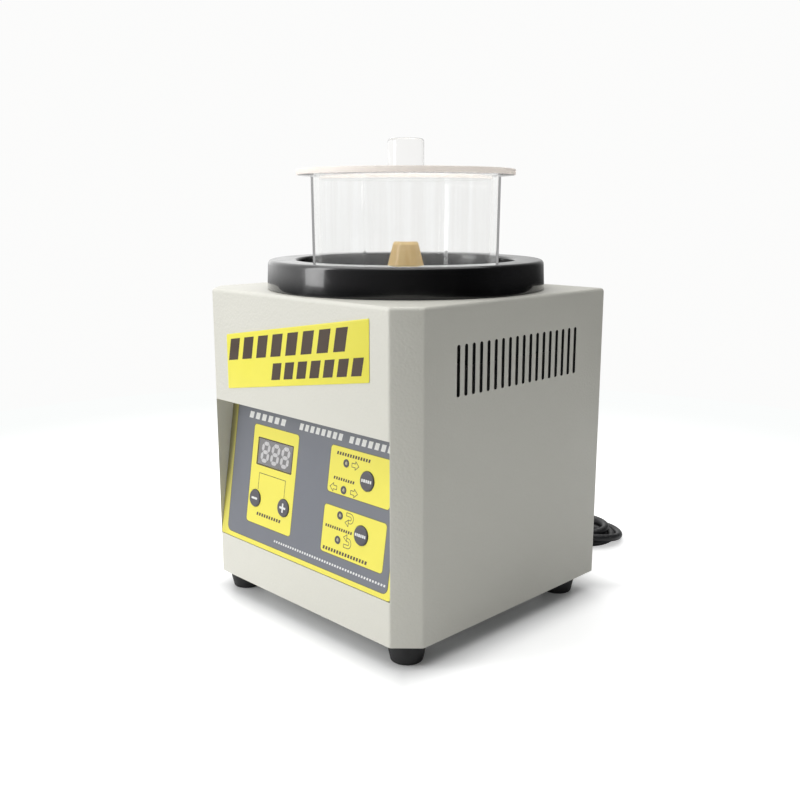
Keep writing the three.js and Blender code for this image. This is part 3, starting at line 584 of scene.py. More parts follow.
def painted_recess_shade(made, towards):
    """Painted shade under the left wall of the panel's recess, strongest at the top where the recess is
    deepest.
    """
    parts = made.tree.nodes.new("ShaderNodeSeparateXYZ")
    made.tree.links.new(made.place, parts.inputs[0])
    across = spread(made.tree, parts.outputs["X"], SHADE_LEFT, SHADE_RIGHT, 1.0, 0.0)
    up = spread(made.tree, parts.outputs["Z"], SHADE_LOW, SHADE_HIGH, 0.15, 1.0)
    return made.tint(math_node(made.tree, "MULTIPLY", across, up), towards, 0.9)


YELLOW = (0.93, 0.84, 0.11)
ALONG_POST = (1.0, 1.0, 0.25)  # streaks drawn out a little in height
ALONG_BOWL = (1.0, 1.0, 0.02)  # streaks nearly as tall as the wall

case_paint = painted("case_paint", (0.745, 0.735, 0.665), 0.40, 0.22, 560.0).material
# near-black inside the side walls and in the vent slots: painted shade, so that the slots look dark
case_inside_shade = painted("case_inside_shade", (0.012, 0.012, 0.012), 0.7).material
panel_sheet_zinc = metal("panel_zinc", (0.60, 0.61, 0.60)).material
base_zinc = metal("base_zinc", (0.58, 0.59, 0.58), 0.38, (1.0, 30.0, 1.0), 90.0).material
# the motor bracket behind the vents is made near-black: painted shade, so that the vents look dark
bracket_paint = painted("bracket_paint", (0.018, 0.018, 0.02), 0.5, 0.05, 900.0, 0.2).material
foot_rubber = moulded("foot_rubber", (0.018, 0.018, 0.019), 0.62, 0.05, 1400.0, 0.3).material
tray_gloss = moulded("tray_gloss", (0.006, 0.006, 0.007), 0.14, 0.004, 900.0, 0.05).set(
    Coat_Weight=0.6, Coat_Roughness=0.06).material
post_resin = moulded("post_resin", (0.50, 0.34, 0.15), 0.40, 0.06, 500.0, 0.05).streak(
    ALONG_POST, 260.0, (0.70, 0.56, 0.34), 0.6).material
lining_resin = moulded("lining_resin", (0.82, 0.62, 0.31), 0.5, 0.10, 300.0, 0.0).streak(
    ALONG_POST, 200.0, (0.70, 0.48, 0.20), 0.6).material
bowl_acrylic = clear("bowl_acrylic", (0.985, 0.99, 0.988)).set(IOR=1.30).streak(
    ALONG_BOWL, 130.0, (0.90, 0.895, 0.885), 0.55).material
lid_acrylic = clear("lid_acrylic", (0.985, 0.968, 0.945), 0.05).material
# the sawn rim glows faintly with a warm tint: painted light
sawn_acrylic = moulded("sawn_acrylic", (0.95, 0.91, 0.87), 0.42, 0.02, 900.0, 0.0).set(
    Transmission_Weight=0.4, Emission_Color=(1.0, 0.93, 0.87, 1.0), Emission_Strength=0.14).material
knob_acrylic = clear("knob_acrylic", (0.985, 0.98, 0.97)).material
film_yellow = printed("film_yellow", YELLOW).material
# the film's yellow border is darkened near the recess's left wall: painted shade
film_border_shaded = painted_recess_shade(printed("film_border_shaded", YELLOW), (0.20, 0.185, 0.12)).material
film_grey = printed("film_grey", (0.185, 0.195, 0.225)).material
ink_dark = printed("ink_dark", (0.085, 0.060, 0.040)).material
ink_olive = printed("ink_olive", (0.17, 0.15, 0.07)).material
ink_white = printed("ink_white", (0.84, 0.84, 0.83)).material
label_film = printed("label_film", (0.95, 0.87, 0.10), 0.30).material
label_ink = printed("label_ink", (0.075, 0.050, 0.035), 0.34).material
key_moulding = moulded("key_moulding", (0.098, 0.095, 0.110), 0.42, 0.03, 1600.0).material
lens_grey = printed("lens_grey", (0.265, 0.258, 0.262), 0.14).material
digit_grey = printed("digit_grey", (0.62, 0.61, 0.62), 0.20).material
light_lens = moulded("light_lens", (0.62, 0.58, 0.42), 0.18, 0.01, 1500.0).set(
    Transmission_Weight=0.15).material
switch_black = moulded("switch_black", (0.014, 0.014, 0.015), 0.34, 0.02, 2200.0).material
black_moulding = moulded("mains_moulding", (0.012, 0.012, 0.013), 0.30, 0.02, 2000.0).material
cord_rubber = moulded("cord_rubber", (0.020, 0.021, 0.023), 0.36, 0.03, 1300.0, 0.18).material
board_green = printed("board_green", (0.03, 0.13, 0.06), 0.4).material
display_body = moulded("display_body", (0.30, 0.30, 0.28), 0.5).material
motor_casting = metal("motor_casting", (0.46, 0.47, 0.48), 0.5, (1.0, 1.0, 1.0), 300.0, 0.05).material
motor_core = metal("motor_core", (0.26, 0.22, 0.18), 0.5, (1.0, 1.0, 60.0), 60.0, 0.03).material
ground_steel = metal("ground_steel", (0.62, 0.62, 0.63), 0.22, (1.0, 1.0, 40.0), 90.0).material
turned_aluminium = metal("turned_aluminium", (0.72, 0.73, 0.74), 0.3, (1.0, 1.0, 40.0), 90.0).material
magnet_nickel = metal("magnet_nickel", (0.68, 0.67, 0.64), 0.14, (1.0, 1.0, 1.0), 200.0, 0.004).material
fan_nylon = moulded("fan_nylon", (0.02, 0.02, 0.022), 0.45).material
can_plastic = moulded("can_plastic", (0.70, 0.69, 0.65), 0.35).material
fuse_glass = clear("fuse_glass", (0.9, 0.92, 0.91)).material
pin_brass = metal("pin_brass", (0.66, 0.48, 0.22), 0.25, (30.0, 1.0, 1.0), 90.0).material


# ---------------------------------------------------------------------------------------------
# Mains cord
# ---------------------------------------------------------------------------------------------

CORD_RADIUS = 3.5
GLAND = Vector((-45.0, 139.8, 40.0))  # where the cord leaves the strain relief
LEAD = [
    (-45, 140.2, 40), (-44.7, 147, 39.6), (-43.4, 153.4, 38.2), (-40.6, 159.2, 35.4), (-36.2, 164.2, 31),
    (-30.4, 168.2, 25.4), (-23.8, 171.2, 19.2), (-16.6, 173.6, 13.2), (-9.2, 175.6, 8.2), (-1.8, 177.6, 5.2),
    (5.4, 179.6, 4.1), (12.6, 181.8, 3.8),
]
TAIL = [
    (22, 247.6, 3.8), (5, 247.6, 3.8), (-12, 247.6, 3.8), (-29, 247.6, 3.8), (-46, 247.6, 3.8),
    (-59.6, 244.9, 3.8), (-71.2, 237.2, 3.8), (-78.9, 225.6, 3.8), (-81.6, 212, 3.8), (-78.9, 198.4, 3.8),
    (-71.2, 186.8, 3.8), (-61.6, 177.8, 3.8), (-50, 170.6, 3.8), (-36, 165.2, 3.8), (-22, 161.9, 4),
    (-8, 160, 5.4), (4, 158.9, 8.2), (14, 158, 10.4),
]
OVAL_LEFT, OVAL_RIGHT, OVAL_Y = -46.0, 38.0, 212.0
CORD_PITCH = 7.1
CORD_LOW = 3.8
CORD_HIGH = CORD_LOW + CORD_PITCH
INNER_ROW, OUTER_ROW = 21.4, 28.5
# How far round the cord is, in turns, with its distance from the oval's middle line and its height.
COIL_STATIONS = [
    (0.20, OUTER_ROW, CORD_LOW), (0.78, OUTER_ROW, CORD_LOW), (1.02, INNER_ROW, CORD_LOW),
    (1.60, INNER_ROW, CORD_LOW), (1.84, INNER_ROW, CORD_HIGH), (2.38, INNER_ROW, CORD_HIGH),
    (2.60, OUTER_ROW, CORD_HIGH), (3.25, OUTER_ROW, CORD_HIGH),
]
COIL_DROP_END = 3.46
COIL_END = 3.5
COIL_STEPS = 132


def coil_station(turns):
    """The cord's distance from the oval's middle line and its height, so many turns in."""
    if turns >= COIL_STATIONS[-1][0]:
        part = min(1.0, (turns - COIL_STATIONS[-1][0]) / (COIL_DROP_END - COIL_STATIONS[-1][0]))
        over = math.pi / 2 * ease(part)
        return OUTER_ROW + CORD_PITCH * math.sin(over), CORD_LOW + CORD_PITCH * math.cos(over)
    for (t0, r0, z0), (t1, r1, z1) in zip(COIL_STATIONS, COIL_STATIONS[1:]):
        if t0 <= turns <= t1:
            part = ease((turns - t0) / (t1 - t0))
            return r0 + (r1 - r0) * part, z0 + (z1 - z0) * part
    return COIL_STATIONS[0][1:]


def oval_place(turns, radius):
    """A quarter of each turn is the near run, then the right end, the far run and the left end."""
    quarter = 4 * (turns % 1.0)
    part = quarter % 1.0
    run = OVAL_RIGHT - OVAL_LEFT
    x, degrees = ((OVAL_LEFT + run * part, -90), (OVAL_RIGHT, -90 + 180 * part),
                  (OVAL_RIGHT - run * part, 90), (OVAL_LEFT, 90 + 180 * part))[int(quarter)]
    angle = math.radians(degrees)
    return x + radius * math.cos(angle), OVAL_Y + radius * math.sin(angle)


def coil_points():
    points = []
    first = COIL_STATIONS[0][0]
    for i in range(COIL_STEPS + 1):
        turns = first + (COIL_END - first) * i / COIL_STEPS
        radius, height = coil_station(turns)
        points.append((*oval_place(turns, radius), height))
    return points


def smooth_line(points, spacing=2.5):
    """One smooth line through the points, as close-set points."""
    points = [Vector(p) for p in points]
    padded = [2 * points[0] - points[1], *points, 2 * points[-1] - points[-2]]
    line = []
    for a, b, c, d in zip(padded, padded[1:], padded[2:], padded[3:]):
        steps = max(1, round((c - b).length / spacing))
        for k in range(steps):
            t = k / steps
            line.append(0.5 * (2 * b + (c - a) * t + (2 * a - 5 * b + 4 * c - d) * t * t
                               + (3 * b - a - 3 * c + d) * t ** 3))
    line.append(points[-1])
    return line


def add_cord():
    line = smooth_line(LEAD + coil_points() + TAIL)
    curve = bpy.data.curves.new("mains_cord", "CURVE")
    curve.dimensions = "3D"
    curve.bevel_depth = CORD_RADIUS * MM
    curve.bevel_resolution = 5
    curve.use_fill_caps = True
    spline = curve.splines.new("POLY")
    spline.points.add(len(line) - 1)
    for point, place in zip(spline.points, line):
        point.co = (*(place * MM), 1)
    spline.use_smooth = True
    curve.materials.append(cord_rubber)
    cord = bpy.data.objects.new("mains_cord", curve)
    bpy.context.scene.collection.objects.link(cord)
    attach(cord, "case")
    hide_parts("power_cord", "cord_coil", "power_cord_tail")
    length = sum((b - a).length for a, b in zip(line, line[1:])) * MM
    return cord, length


PLUG_PLACE = (14, 158, 10.6)
PLUG_TURN = -0.08
PLUG_RIBS = 5
GLAND_RIBS = 8


def loft(bm, sections, steps=48):
    """Skins rounded-box sections along X: (x, half width, half height, squareness from 2 for round)."""
    rings = []
    for x, half_width, half_height, square in sections:
        ring = []
        for k in range(steps):
            angle = 2 * math.pi * k / steps
            c, s = math.cos(angle), math.sin(angle)
            ring.append((x, half_width * math.copysign(abs(c) ** (2 / square), c),
                         half_height * math.copysign(abs(s) ** (2 / square), s)))
        rings.append(ring)
    skin_rings(bm, rings)


def add_plug():
    """A moulded plug with a ribbed neck, two flat pins and a round earth pin."""
    placing = Matrix.Translation(PLUG_PLACE) @ Matrix.Rotation(PLUG_TURN, 4, "Z")
    sections = [(-1.0, 4.4, 4.4, 2), (0.0, 4.9, 4.9, 2)]
    for i in range(PLUG_RIBS):
        x = 3.0 + 3.4 * i
        radius = 5.2 + 0.62 * i
        sections += [(x - 1.2, radius, radius, 2), (x - 0.7, radius + 0.7, radius + 0.7, 2),
                     (x + 0.9, radius + 0.8, radius + 0.8, 2), (x + 1.4, radius + 0.1, radius + 0.1, 2)]
    sections += [(19.6, 8.6, 8.4, 2.1), (23.0, 10.2, 9.2, 2.4), (25.6, 12.4, 9.9, 3.2),
                 (28.0, 13.5, 10.1, 4.5), (31.0, 13.9, 10.2, 5.5), (36.6, 13.9, 10.2, 5.5),
                 (37.6, 13.5, 9.8, 5.2), (38.0, 12.9, 9.2, 5)]
    bm = bmesh.new()
    loft(bm, sections)
    bm.transform(placing)
    body = add_piece("plug_body", mesh_from(bm, "plug_body"), cord_rubber,
                     stands_for=["plug"])
    bm = bmesh.new()
    for low, high in (((37.4, -7.1, 0.6), (56, -5.6, 6.9)), ((37.4, 5.6, 0.6), (56, 7.1, 6.9))):
        made = block(bm, low, high)
        edges = {e for v in made for e in v.link_edges}
        bmesh.ops.bevel(bm, geom=list(edges), offset=0.5, segments=2, affect="EDGES")
    earth = Matrix.Translation((37.4, 0, -5.6)) @ Matrix.Rotation(math.pi / 2, 4, "Y")
    round_pin = bmesh.new()
    turned(round_pin, filleted([(0, 0, 0), (2.4, 0, 0), (2.4, 21.5, 1.2), (0, 21.6, 0)], 4, False), 32)
    round_pin.transform(earth)
    flat = bpy.data.meshes.new("round_pin")
    round_pin.to_mesh(flat)
    round_pin.free()
    bm.from_mesh(flat)
    bpy.data.meshes.remove(flat)
    bm.transform(placing)
    pins = add_piece("plug_pins", mesh_from(bm, "plug_pins"), pin_brass)
    return body, pins


def add_gland():
    """The strain relief: a flange on the panel, then a tapered sleeve with flexing slots."""
    profile = [(0, -7.5, 0), (6.1, -7.5, 0.3), (6.1, 0.3, 0), (9, 0.3, 0.3), (9, 2.8, 0.9), (6.8, 3.4, 0.8)]
    rib, start = 3.1, 6.2
    for i in range(GLAND_RIBS):
        z = start + rib * i
        radius = 6.5 - 1.55 * i / GLAND_RIBS
        profile += [(radius, z, 0.3), (radius - 0.75, z + 0.35, 0.2), (radius - 0.75, z + 1.0, 0.2),
                    (radius - 0.05, z + 1.35, 0.3)]
    profile += [(4.75, 32, 0.9), (0, 32, 0)]
    add_turned("gland", profile, cord_rubber, slot="cord_rubber", stands_for=["strain_relief"], steps=48,
               placing=out_of_back(GLAND.x, GLAND.z), fillet_steps=2)


cord, cord_length = add_cord()
add_gland()
plug_body, plug_pins = add_plug()


# ---------------------------------------------------------------------------------------------
# Case
# ---------------------------------------------------------------------------------------------

VENT_COUNT, REAR_VENT_COUNT = 18, 12
VENT_PITCH = 8.0
VENT_MIDDLE = 211.5
FUSE_X, FUSE_Z = 85, 88
SWITCH_X, SWITCH_Z = 85, 52
FOOT_PLACES = {"front_left": (-98, -94.4), "front_right": (98, -94.4), "rear_left": (-98, 87.6),
               "rear_right": (98, 87.6)}


def case_plan(inset, radius, past_back=0.0):
    """The case seen from above, drawn in from its outside."""
    w = CASE_HALF_WIDTH - inset
    front, back = FRONT_Y + inset, BACK_Y + past_back
    chamfer = CASE_CHAMFER - inset * (2 - math.sqrt(2))
    corners = [(-w + chamfer, front), (w - chamfer, front), (w, front + chamfer), (w, back), (-w, back),
               (-w, front + chamfer)]
    return filleted([(x, y, radius) for x, y in corners], 5)


def recess_wedge(behind, above, half_width):
    """The wedge cut from the front for the panel, made deeper and taller by the amounts given."""
    rise = RECESS_TOP - RECESS_LOW
    depth = RECESS_DEPTH * (1 + above / rise)
    outline = [(FRONT_Y - 5, RECESS_LOW), (FRONT_Y + behind, RECESS_LOW),
               (FRONT_Y + behind + depth, RECESS_TOP + above), (FRONT_Y - 5, RECESS_TOP + above)]
    return tool_mesh(lambda bm: prism(bm, outline, -half_width, half_width, FACING_SIDE))


def solid_case_mesh():
    """The outside of the folded case, rounded along its top and down its bends."""
    bend, steps = 3.0, 6
    rings = [[(x, y, CASE_LOW) for x, y in case_plan(0, CASE_CORNER)]]
    for k in range(steps + 1):
        turn = math.pi / 2 * k / steps
        inset = bend * (1 - math.cos(turn))
        height = CASE_TOP - bend + bend * math.sin(turn)
        rings.append([(x, y, height) for x, y in case_plan(inset, CASE_CORNER - inset, -inset)])
    return tool_mesh(lambda bm: skin_rings(bm, rings))


def vent_places(count):
    return [(i - (count - 1) / 2) * VENT_PITCH for i in range(count)]


def lines_side_wall(face):
    """Whether a face is on the inside of a side wall or in one of its slots, away from the folds."""
    x, y, z = face.center / MM
    return 115 < abs(x) < 119.9 and -95 < y < 100 and z < 250 and abs(face.normal.z) < 0.9


def add_case():
    """The folded case: hollow, open at the back and below, with the panel's recess, vents and axle hole."""
    solid = solid_case_mesh()
    inside = case_plan(SHEET, CASE_CORNER - SHEET, -SHEET)
    hollow = tool_mesh(lambda bm: prism(bm, inside, -20, CASE_TOP - SHEET))
    rear = tool_mesh(lambda bm: block(bm, (-109, REAR_FACE, -20), (109, BACK_Y + 5, CASE_TOP - 11)))
    shell = carve(solid.copy(), [("DIFFERENCE", hollow), ("DIFFERENCE", rear)])
    walls = carve(recess_wedge(6, SHEET, PANEL_HALF + SHEET), [("INTERSECT", solid)])

    def vents(bm):
        for place in vent_places(VENT_COUNT):
            prism(bm, slot_outline(AXIS_Y + place, VENT_MIDDLE, 3.3, 36.8), -130, 130, FACING_SIDE)

    top_hole = tool_mesh(lambda bm: prism(bm, circle(0, AXIS_Y, 72, 96), CASE_TOP - 10, CASE_TOP + 10))
    shell = carve(shell, [("UNION", walls), ("DIFFERENCE", recess_wedge(10, 0, PANEL_HALF)),
                          ("DIFFERENCE", tool_mesh(vents)), ("DIFFERENCE", top_hole)])
    bm = bmesh.new()
    bm.from_mesh(shell)
    bmesh.ops.dissolve_limit(bm, angle_limit=math.radians(0.5), verts=bm.verts, edges=bm.edges)
    mesh = mesh_from(bm, "case_skin", 30)
    piece = add_piece("case_skin", mesh, case_paint, stands_for=["case_shell"])
    # the inside of the side walls and the slots' own edges take the near-black painted shade
    mesh.materials.append(case_inside_shade)
    for face in mesh.polygons:
        if lines_side_wall(face):
            face.material_index = 1
    soften(piece, 0.35, 2, 50)


add_case()


def screw_mesh(radius=3.4, height=2.2):
    """A pan-head screw with a cross in it, standing on the plane at height nought, in millimetres."""
    base = turned_mesh("screw", [(0, -1.5, 0), (radius * 0.5, -1.5, 0), (radius * 0.5, 0, 0), (radius, 0, 0),
                                 (radius, height * 0.5, 0.5), (radius * 0.62, height, 1.2), (0, height, 0)],
                       32, fillet_steps=3)
    base.transform(Matrix.Scale(1 / MM, 4))
    reach, low, high = radius * 0.55, height * 0.35, height + 2
    return carve(base, [
        ("DIFFERENCE", tool_mesh(lambda bm: block(bm, (-reach, -0.45, low), (reach, 0.45, high)))),
        ("DIFFERENCE", tool_mesh(lambda bm: block(bm, (-0.45, -reach, low), (0.45, reach, high)))),
    ])


def add_screws(name, placings, **sizes):
    """Screws of one size, as one piece."""
    pattern = screw_mesh(**sizes)
    bm = bmesh.new()
    for placing in placings:
        one = pattern.copy()
        one.transform(placing)
        bm.from_mesh(one)
        bpy.data.meshes.remove(one)
    add_piece(name, mesh_from(bm, name, 30), ground_steel)


def add_back_panel():
    outline = rounded_box(0, 136.75, 236.4, 238.9, 1.0, 3)
    holes = [slot_outline(place, VENT_MIDDLE, 2.9, 36.5) for place in vent_places(REAR_VENT_COUNT)]
    holes += [circle(-FUSE_X, FUSE_Z, 6.2), circle(-GLAND.x, GLAND.z, 6.4),
              rounded_box(-SWITCH_X, SWITCH_Z, 13.8, 19.8, 0.4)]
    back = Matrix.Translation((0, REAR_FACE - SHEET, 0)) @ FACING_BACK
    mesh = cut_sheet("rear_panel", [outline, *holes], 0, SHEET, 0.15, back)
    add_piece("rear_panel", mesh, case_paint, stands_for=["back_panel"])
    face = Matrix.Translation((0, REAR_FACE, 0)) @ FACING_BACK
    places = [(x, z) for z in (24, 136, 241) for x in (-104.5, 104.5)]
    add_screws("rear_panel_screws", [face @ Matrix.Translation((x, z, 0)) @ Matrix.Rotation(x + z, 4, "Z")
                                     for x, z in places])
    rivets = [circle(x, z, 1.4, 16) for z in (167, 133) for x in (-59, -1)]
    plate = cut_sheet("rating_plate", [rounded_box(-30, 150, 64, 40, 2.0), *rivets], 0.02, 0.5, 0.1, face)
    add_piece("rating_plate", plate, turned_aluminium)
    rules = [rounded_box(-30, 158 - 5.4 * i, 50, 0.5, 0.2, 2) for i in range(4)]
    mesh = cut_sheet("rating_plate_rules", rules, 0.45, 0.56, placing=face)
    add_piece("rating_plate_rules", mesh, ink_dark)


def add_feet():
    profile = [(2.4, 9, 0), (6, 9, 0.3), (6, 0, 0.5), (11.9, 0, 0.9), (15.5, 16.2, 0.8), (14.7, 17, 0.2),
               (2.4, 17, 0)]
    for name, place in FOOT_PLACES.items():
        add_turned(f"rubber_foot_{name}", profile, foot_rubber, slot="foot_rubber", stands_for=[f"foot_{name}"],
                   steps=64, centre=place, closed=True)
    down = Matrix.Rotation(math.pi, 4, "X")
    add_screws("foot_screws", [Matrix.Translation((x, y, 8.8)) @ down for x, y in FOOT_PLACES.values()],
               radius=4.6, height=2.6)


add_back_panel()
add_feet()


# ---------------------------------------------------------------------------------------------
# Front label: plain bars stand where such a machine has its name
# ---------------------------------------------------------------------------------------------

LABEL_WIDTH, LABEL_HEIGHT = 168.0, 44.0
LABEL_RISE = 26.9  # how much higher its right end is than its left
LABEL_MIDDLE = 213.7


def block_row(left, right, y, height, count, filled=0.64, lean=0.22):
    """A row of leaning blocks."""
    pitch = (right - left) / (count - 1 + filled)
    shift = lean * height / 2
    blocks = []
    for i in range(count):
        x0 = left + pitch * i
        x1 = x0 + pitch * filled
        blocks.append(filleted([(x0 - shift, y - height / 2, 0.1), (x1 - shift, y - height / 2, 0.1),
                                (x1 + shift, y + height / 2, 0.1), (x0 + shift, y + height / 2, 0.1)], 1))
    return blocks


def word_bars(left, right, y, height, widths, gap):
    """Short plain bars in a row, where a caption would stand."""
    total = sum(widths) + gap * (len(widths) - 1)
    scale = (right - left) / total
    bars, x = [], left
    for width in widths:
        bars.append(rounded_box(x + width * scale / 2, y, width * scale, height, min(0.3, height / 4), 2))
        x += (width + gap) * scale
    return bars


def add_label():
    lean = Matrix(((1, 0, 0, 0), (LABEL_RISE / LABEL_WIDTH, 1, 0, 0), (0, 0, 1, 0), (0, 0, 0, 1)))
    placing = Matrix.Translation((0, FRONT_Y - 0.1, LABEL_MIDDLE)) @ FACING_FRONT @ lean
    mesh = cut_sheet("label_film", [rounded_box(0, 0, LABEL_WIDTH, LABEL_HEIGHT, 1.2)], 0, 0.3, 0.06, placing)
    add_piece("label_film", mesh, label_film, stands_for=["front_label"])
    bars = block_row(-80, 61, 9.4, 17.0, 8, 0.68) + block_row(-25, 77.5, -10.6, 12.8, 7, 0.7)
    mesh = cut_sheet("label_bars", bars, 0.28, 0.36, placing=placing)
    add_piece("label_bars", mesh, label_ink)


add_label()


# ---------------------------------------------------------------------------------------------
# Tray, post, bowl and lid
# ---------------------------------------------------------------------------------------------

BOWL_LOW = 261.1
BOWL_RIM = 346.2
BOWL_FLATS, BOWL_INSIDE = 146.5, 140.5
BOWL_CORNER = 5
BOWL_FLOOR = BOWL_LOW + 3.0
BOWL_TAPER = 0.012
CONE_TOP = 294.7
LID_LOW, LID_TOP = 346.5, 351
KNOB_TOP = 375
ON_AXIS = (0, AXIS_Y)


def octagon(flats, radius, steps=5):
    reach = flats / 2 / math.cos(math.pi / 8)
    corners = [(reach * math.cos((i + 0.5) * math.pi / 4), reach * math.sin((i + 0.5) * math.pi / 4), radius)
               for i in range(8)]
    return filleted(corners, steps)


def add_tray():
    profile = [(0, 258.3, 0), (91.3, 258.3, 0), (91.3, 278, 0.6), (107.7, 276.5, 1.5), (108.7, 258.3, 0),
               (111.7, 258.3, 0.5), (110.7, 281, 3.4), (88.3, 281, 2.0), (88.3, 260.8, 1.5), (0, 260.8, 0)]
    add_turned("tray", profile, tray_gloss, slot="tray_moulding", stands_for=["bowl_tray"], steps=160,
               centre=ON_AXIS, fillet_steps=7)
    profile = [(0, 261.1, 0), (15.4, 261.1, 0.4), (8.4, 289.2, 0.5), (7.2, 290.7, 0.5), (0, 290.7, 0)]
    add_turned("post", profile, post_resin, slot="post_resin", stands_for=["locating_post"], steps=64,
               centre=ON_AXIS)


def add_bowl():
    """Eight flat sides on the outside and inside, and a hollow cone up through the floor."""
    steps = 5
    around = [math.atan2(y, x) for x, y in octagon(BOWL_FLATS, BOWL_CORNER, steps)]

    def ring(flats, radius, height):
        drop = (BOWL_RIM - height) / (BOWL_RIM - BOWL_LOW)
        shrink = 1 - BOWL_TAPER * drop
        return [(x * shrink, y * shrink + AXIS_Y, height) for x, y in octagon(flats, radius, steps)]

    def round_ring(radius, height):
        return [(radius * math.cos(a), radius * math.sin(a) + AXIS_Y, height) for a in around]

    bend = [(1 - math.sin(turn), 1 - math.cos(turn)) for turn in (math.pi / 2 * k / 3 for k in range(4))]
    rings = [[(0, AXIS_Y, CONE_TOP - 2.1)], round_ring(7.4, CONE_TOP - 2.1), round_ring(8.7, CONE_TOP - 3.0),
             round_ring(16.3, BOWL_LOW + 0.5), round_ring(16.9, BOWL_LOW)]
    rings += [ring(BOWL_FLATS - 3.0 * inward, BOWL_CORNER - 1.5 * inward, BOWL_LOW + 1.5 * upward)
              for inward, upward in bend]
    rings += [ring(BOWL_FLATS, BOWL_CORNER, BOWL_RIM - 0.5), ring(BOWL_FLATS - 1, 4.5, BOWL_RIM),
              ring(BOWL_INSIDE + 1, 2.5, BOWL_RIM), ring(BOWL_INSIDE, 2.2, BOWL_RIM - 0.5)]
    rings += [ring(BOWL_INSIDE - 4.0 * inward, 2.2 - 0.6 * inward, BOWL_FLOOR + 2.0 * upward)
              for upward, inward in bend]
    rings += [round_ring(20.6, BOWL_FLOOR), round_ring(19.1, BOWL_FLOOR + 0.5),
              round_ring(18.4, BOWL_FLOOR + 1.6), round_ring(11.0, CONE_TOP - 1.8),
              round_ring(10.4, CONE_TOP - 0.6), round_ring(9.2, CONE_TOP), [(0, AXIS_Y, CONE_TOP)]]
    bm = bmesh.new()
    skin_rings(bm, rings)
    add_piece("clear_bowl", mesh_from(bm, "clear_bowl", 24), bowl_acrylic, "bowl", ["bowl"])
    lining = [(0, 293.0, 0), (7.6, 293.0, 0.2), (9.1, 291.9, 0.2), (16.4, 262.2, 0), (17.0, 262.2, 0),
              (9.7, 292.2, 0.3), (8.0, 293.4, 0.3), (0, 293.4, 0)]
    add_turned("cone_lining", lining, lining_resin, "bowl", "clear_acrylic", steps=64, centre=ON_AXIS)


def add_lid():
    """A clear disc with a sawn, matt rim, located by a smaller disc underneath."""
    profile = [(0, 343, 0), (68.4, 343, 0.5), (68.4, LID_LOW, 0.3), (86.2, LID_LOW, 0.3),
               (86.2, LID_TOP, 0.3), (0, LID_TOP, 0)]
    add_turned("lid", profile, lid_acrylic, "lid", "clear_acrylic", ["lid_disc"], steps=160, centre=ON_AXIS)
    rim = [(86.25, LID_LOW, 0.1), (87, LID_LOW, 0.5), (87, LID_TOP, 0.5), (86.25, LID_TOP, 0.1)]
    add_turned("lid_rim", rim, sawn_acrylic, "lid", "clear_acrylic", steps=160, centre=ON_AXIS, closed=True)
    profile = [(0, 351.1, 0), (14.5, 351.1, 0.3), (14.5, KNOB_TOP, 2.6), (0, KNOB_TOP, 0)]
    add_turned("knob", profile, knob_acrylic, "lid", "clear_acrylic", ["lid_knob"], centre=ON_AXIS,
               fillet_steps=6)


add_tray()
add_bowl()
add_lid()


# ---------------------------------------------------------------------------------------------
# Control panel: across from its middle, up from its lower edge, height out from its face
# ---------------------------------------------------------------------------------------------

WINDOW = (-40.7, 78.0, 44.0, 21.0)
KEYS = {"minus": (-60.7, 39.0, 7.0), "plus": (-23.6, 39.0, 7.0), "select": (68.0, 79.5, 7.2),
        "start": (67.5, 39.5, 7.2)}
LIGHTS = {"one_way": (44.0, 88.0), "two_way": (44.0, 68.0), "running": (43.0, 48.7), "stopped": (43.0, 30.2)}
FIELDS = {"timer": (-70.0, -12.5, 18.5, 99.0), "direction": (26.0, 93.0, 64.0, 99.0),
          "run": (25.0, 92.5, 18.0, 54.0)}
FILM_TOP = 116.1
PRINT_LOW = -0.05  # each print starts a little under the film's face


def field_holes(left, right, low, high):
    """What passes through a printed field: its keys, its lights and the window."""
    def within(x, y):
        return left < x < right and low < y < high

    inside = [circle(x, y, r + 0.35) for x, y, r in KEYS.values() if within(x, y)]
    inside += [circle(x, y, 2.5, 24) for x, y in LIGHTS.values() if within(x, y)]
    if within(*WINDOW[:2]):
        inside.append(rounded_box(*WINDOW, 0.6, 2))
    return inside


def line_print(name, strokes, width, top, material):
    """Thin printed strokes, each a list of points, joined as one flat piece."""
    bm = bmesh.new()
    for stroke in strokes:
        for (x0, y0), (x1, y1) in zip(stroke, stroke[1:]):
            along = Vector((x1 - x0, y1 - y0))
            turn = math.atan2(along.y, along.x)
            outline = slot_outline(along.length / 2, 0, along.length + width, width, 3)
            placing = Matrix.Translation((x0, y0, 0)) @ Matrix.Rotation(turn, 4, "Z")
            prism(bm, outline, top - 0.05, top, placing)
    bm.transform(ON_PANEL)
    add_piece(name, mesh_from(bm, name), material)


def panel_print(name, outlines, low, top, material):
    add_piece(name, cut_sheet(name, outlines, low, top, placing=ON_PANEL), material)


def arrow(x, y, size, way):
    """A plain block arrow in outline."""
    head, tail, wide, thin = 0.9 * size, -0.9 * size, 0.75 * size, 0.34 * size
    points = [(tail, thin), (0, thin), (0, wide), (head, 0), (0, -wide), (0, -thin), (tail, -thin),
              (tail, thin)]
    return [(x + way * px, y + py) for px, py in points]


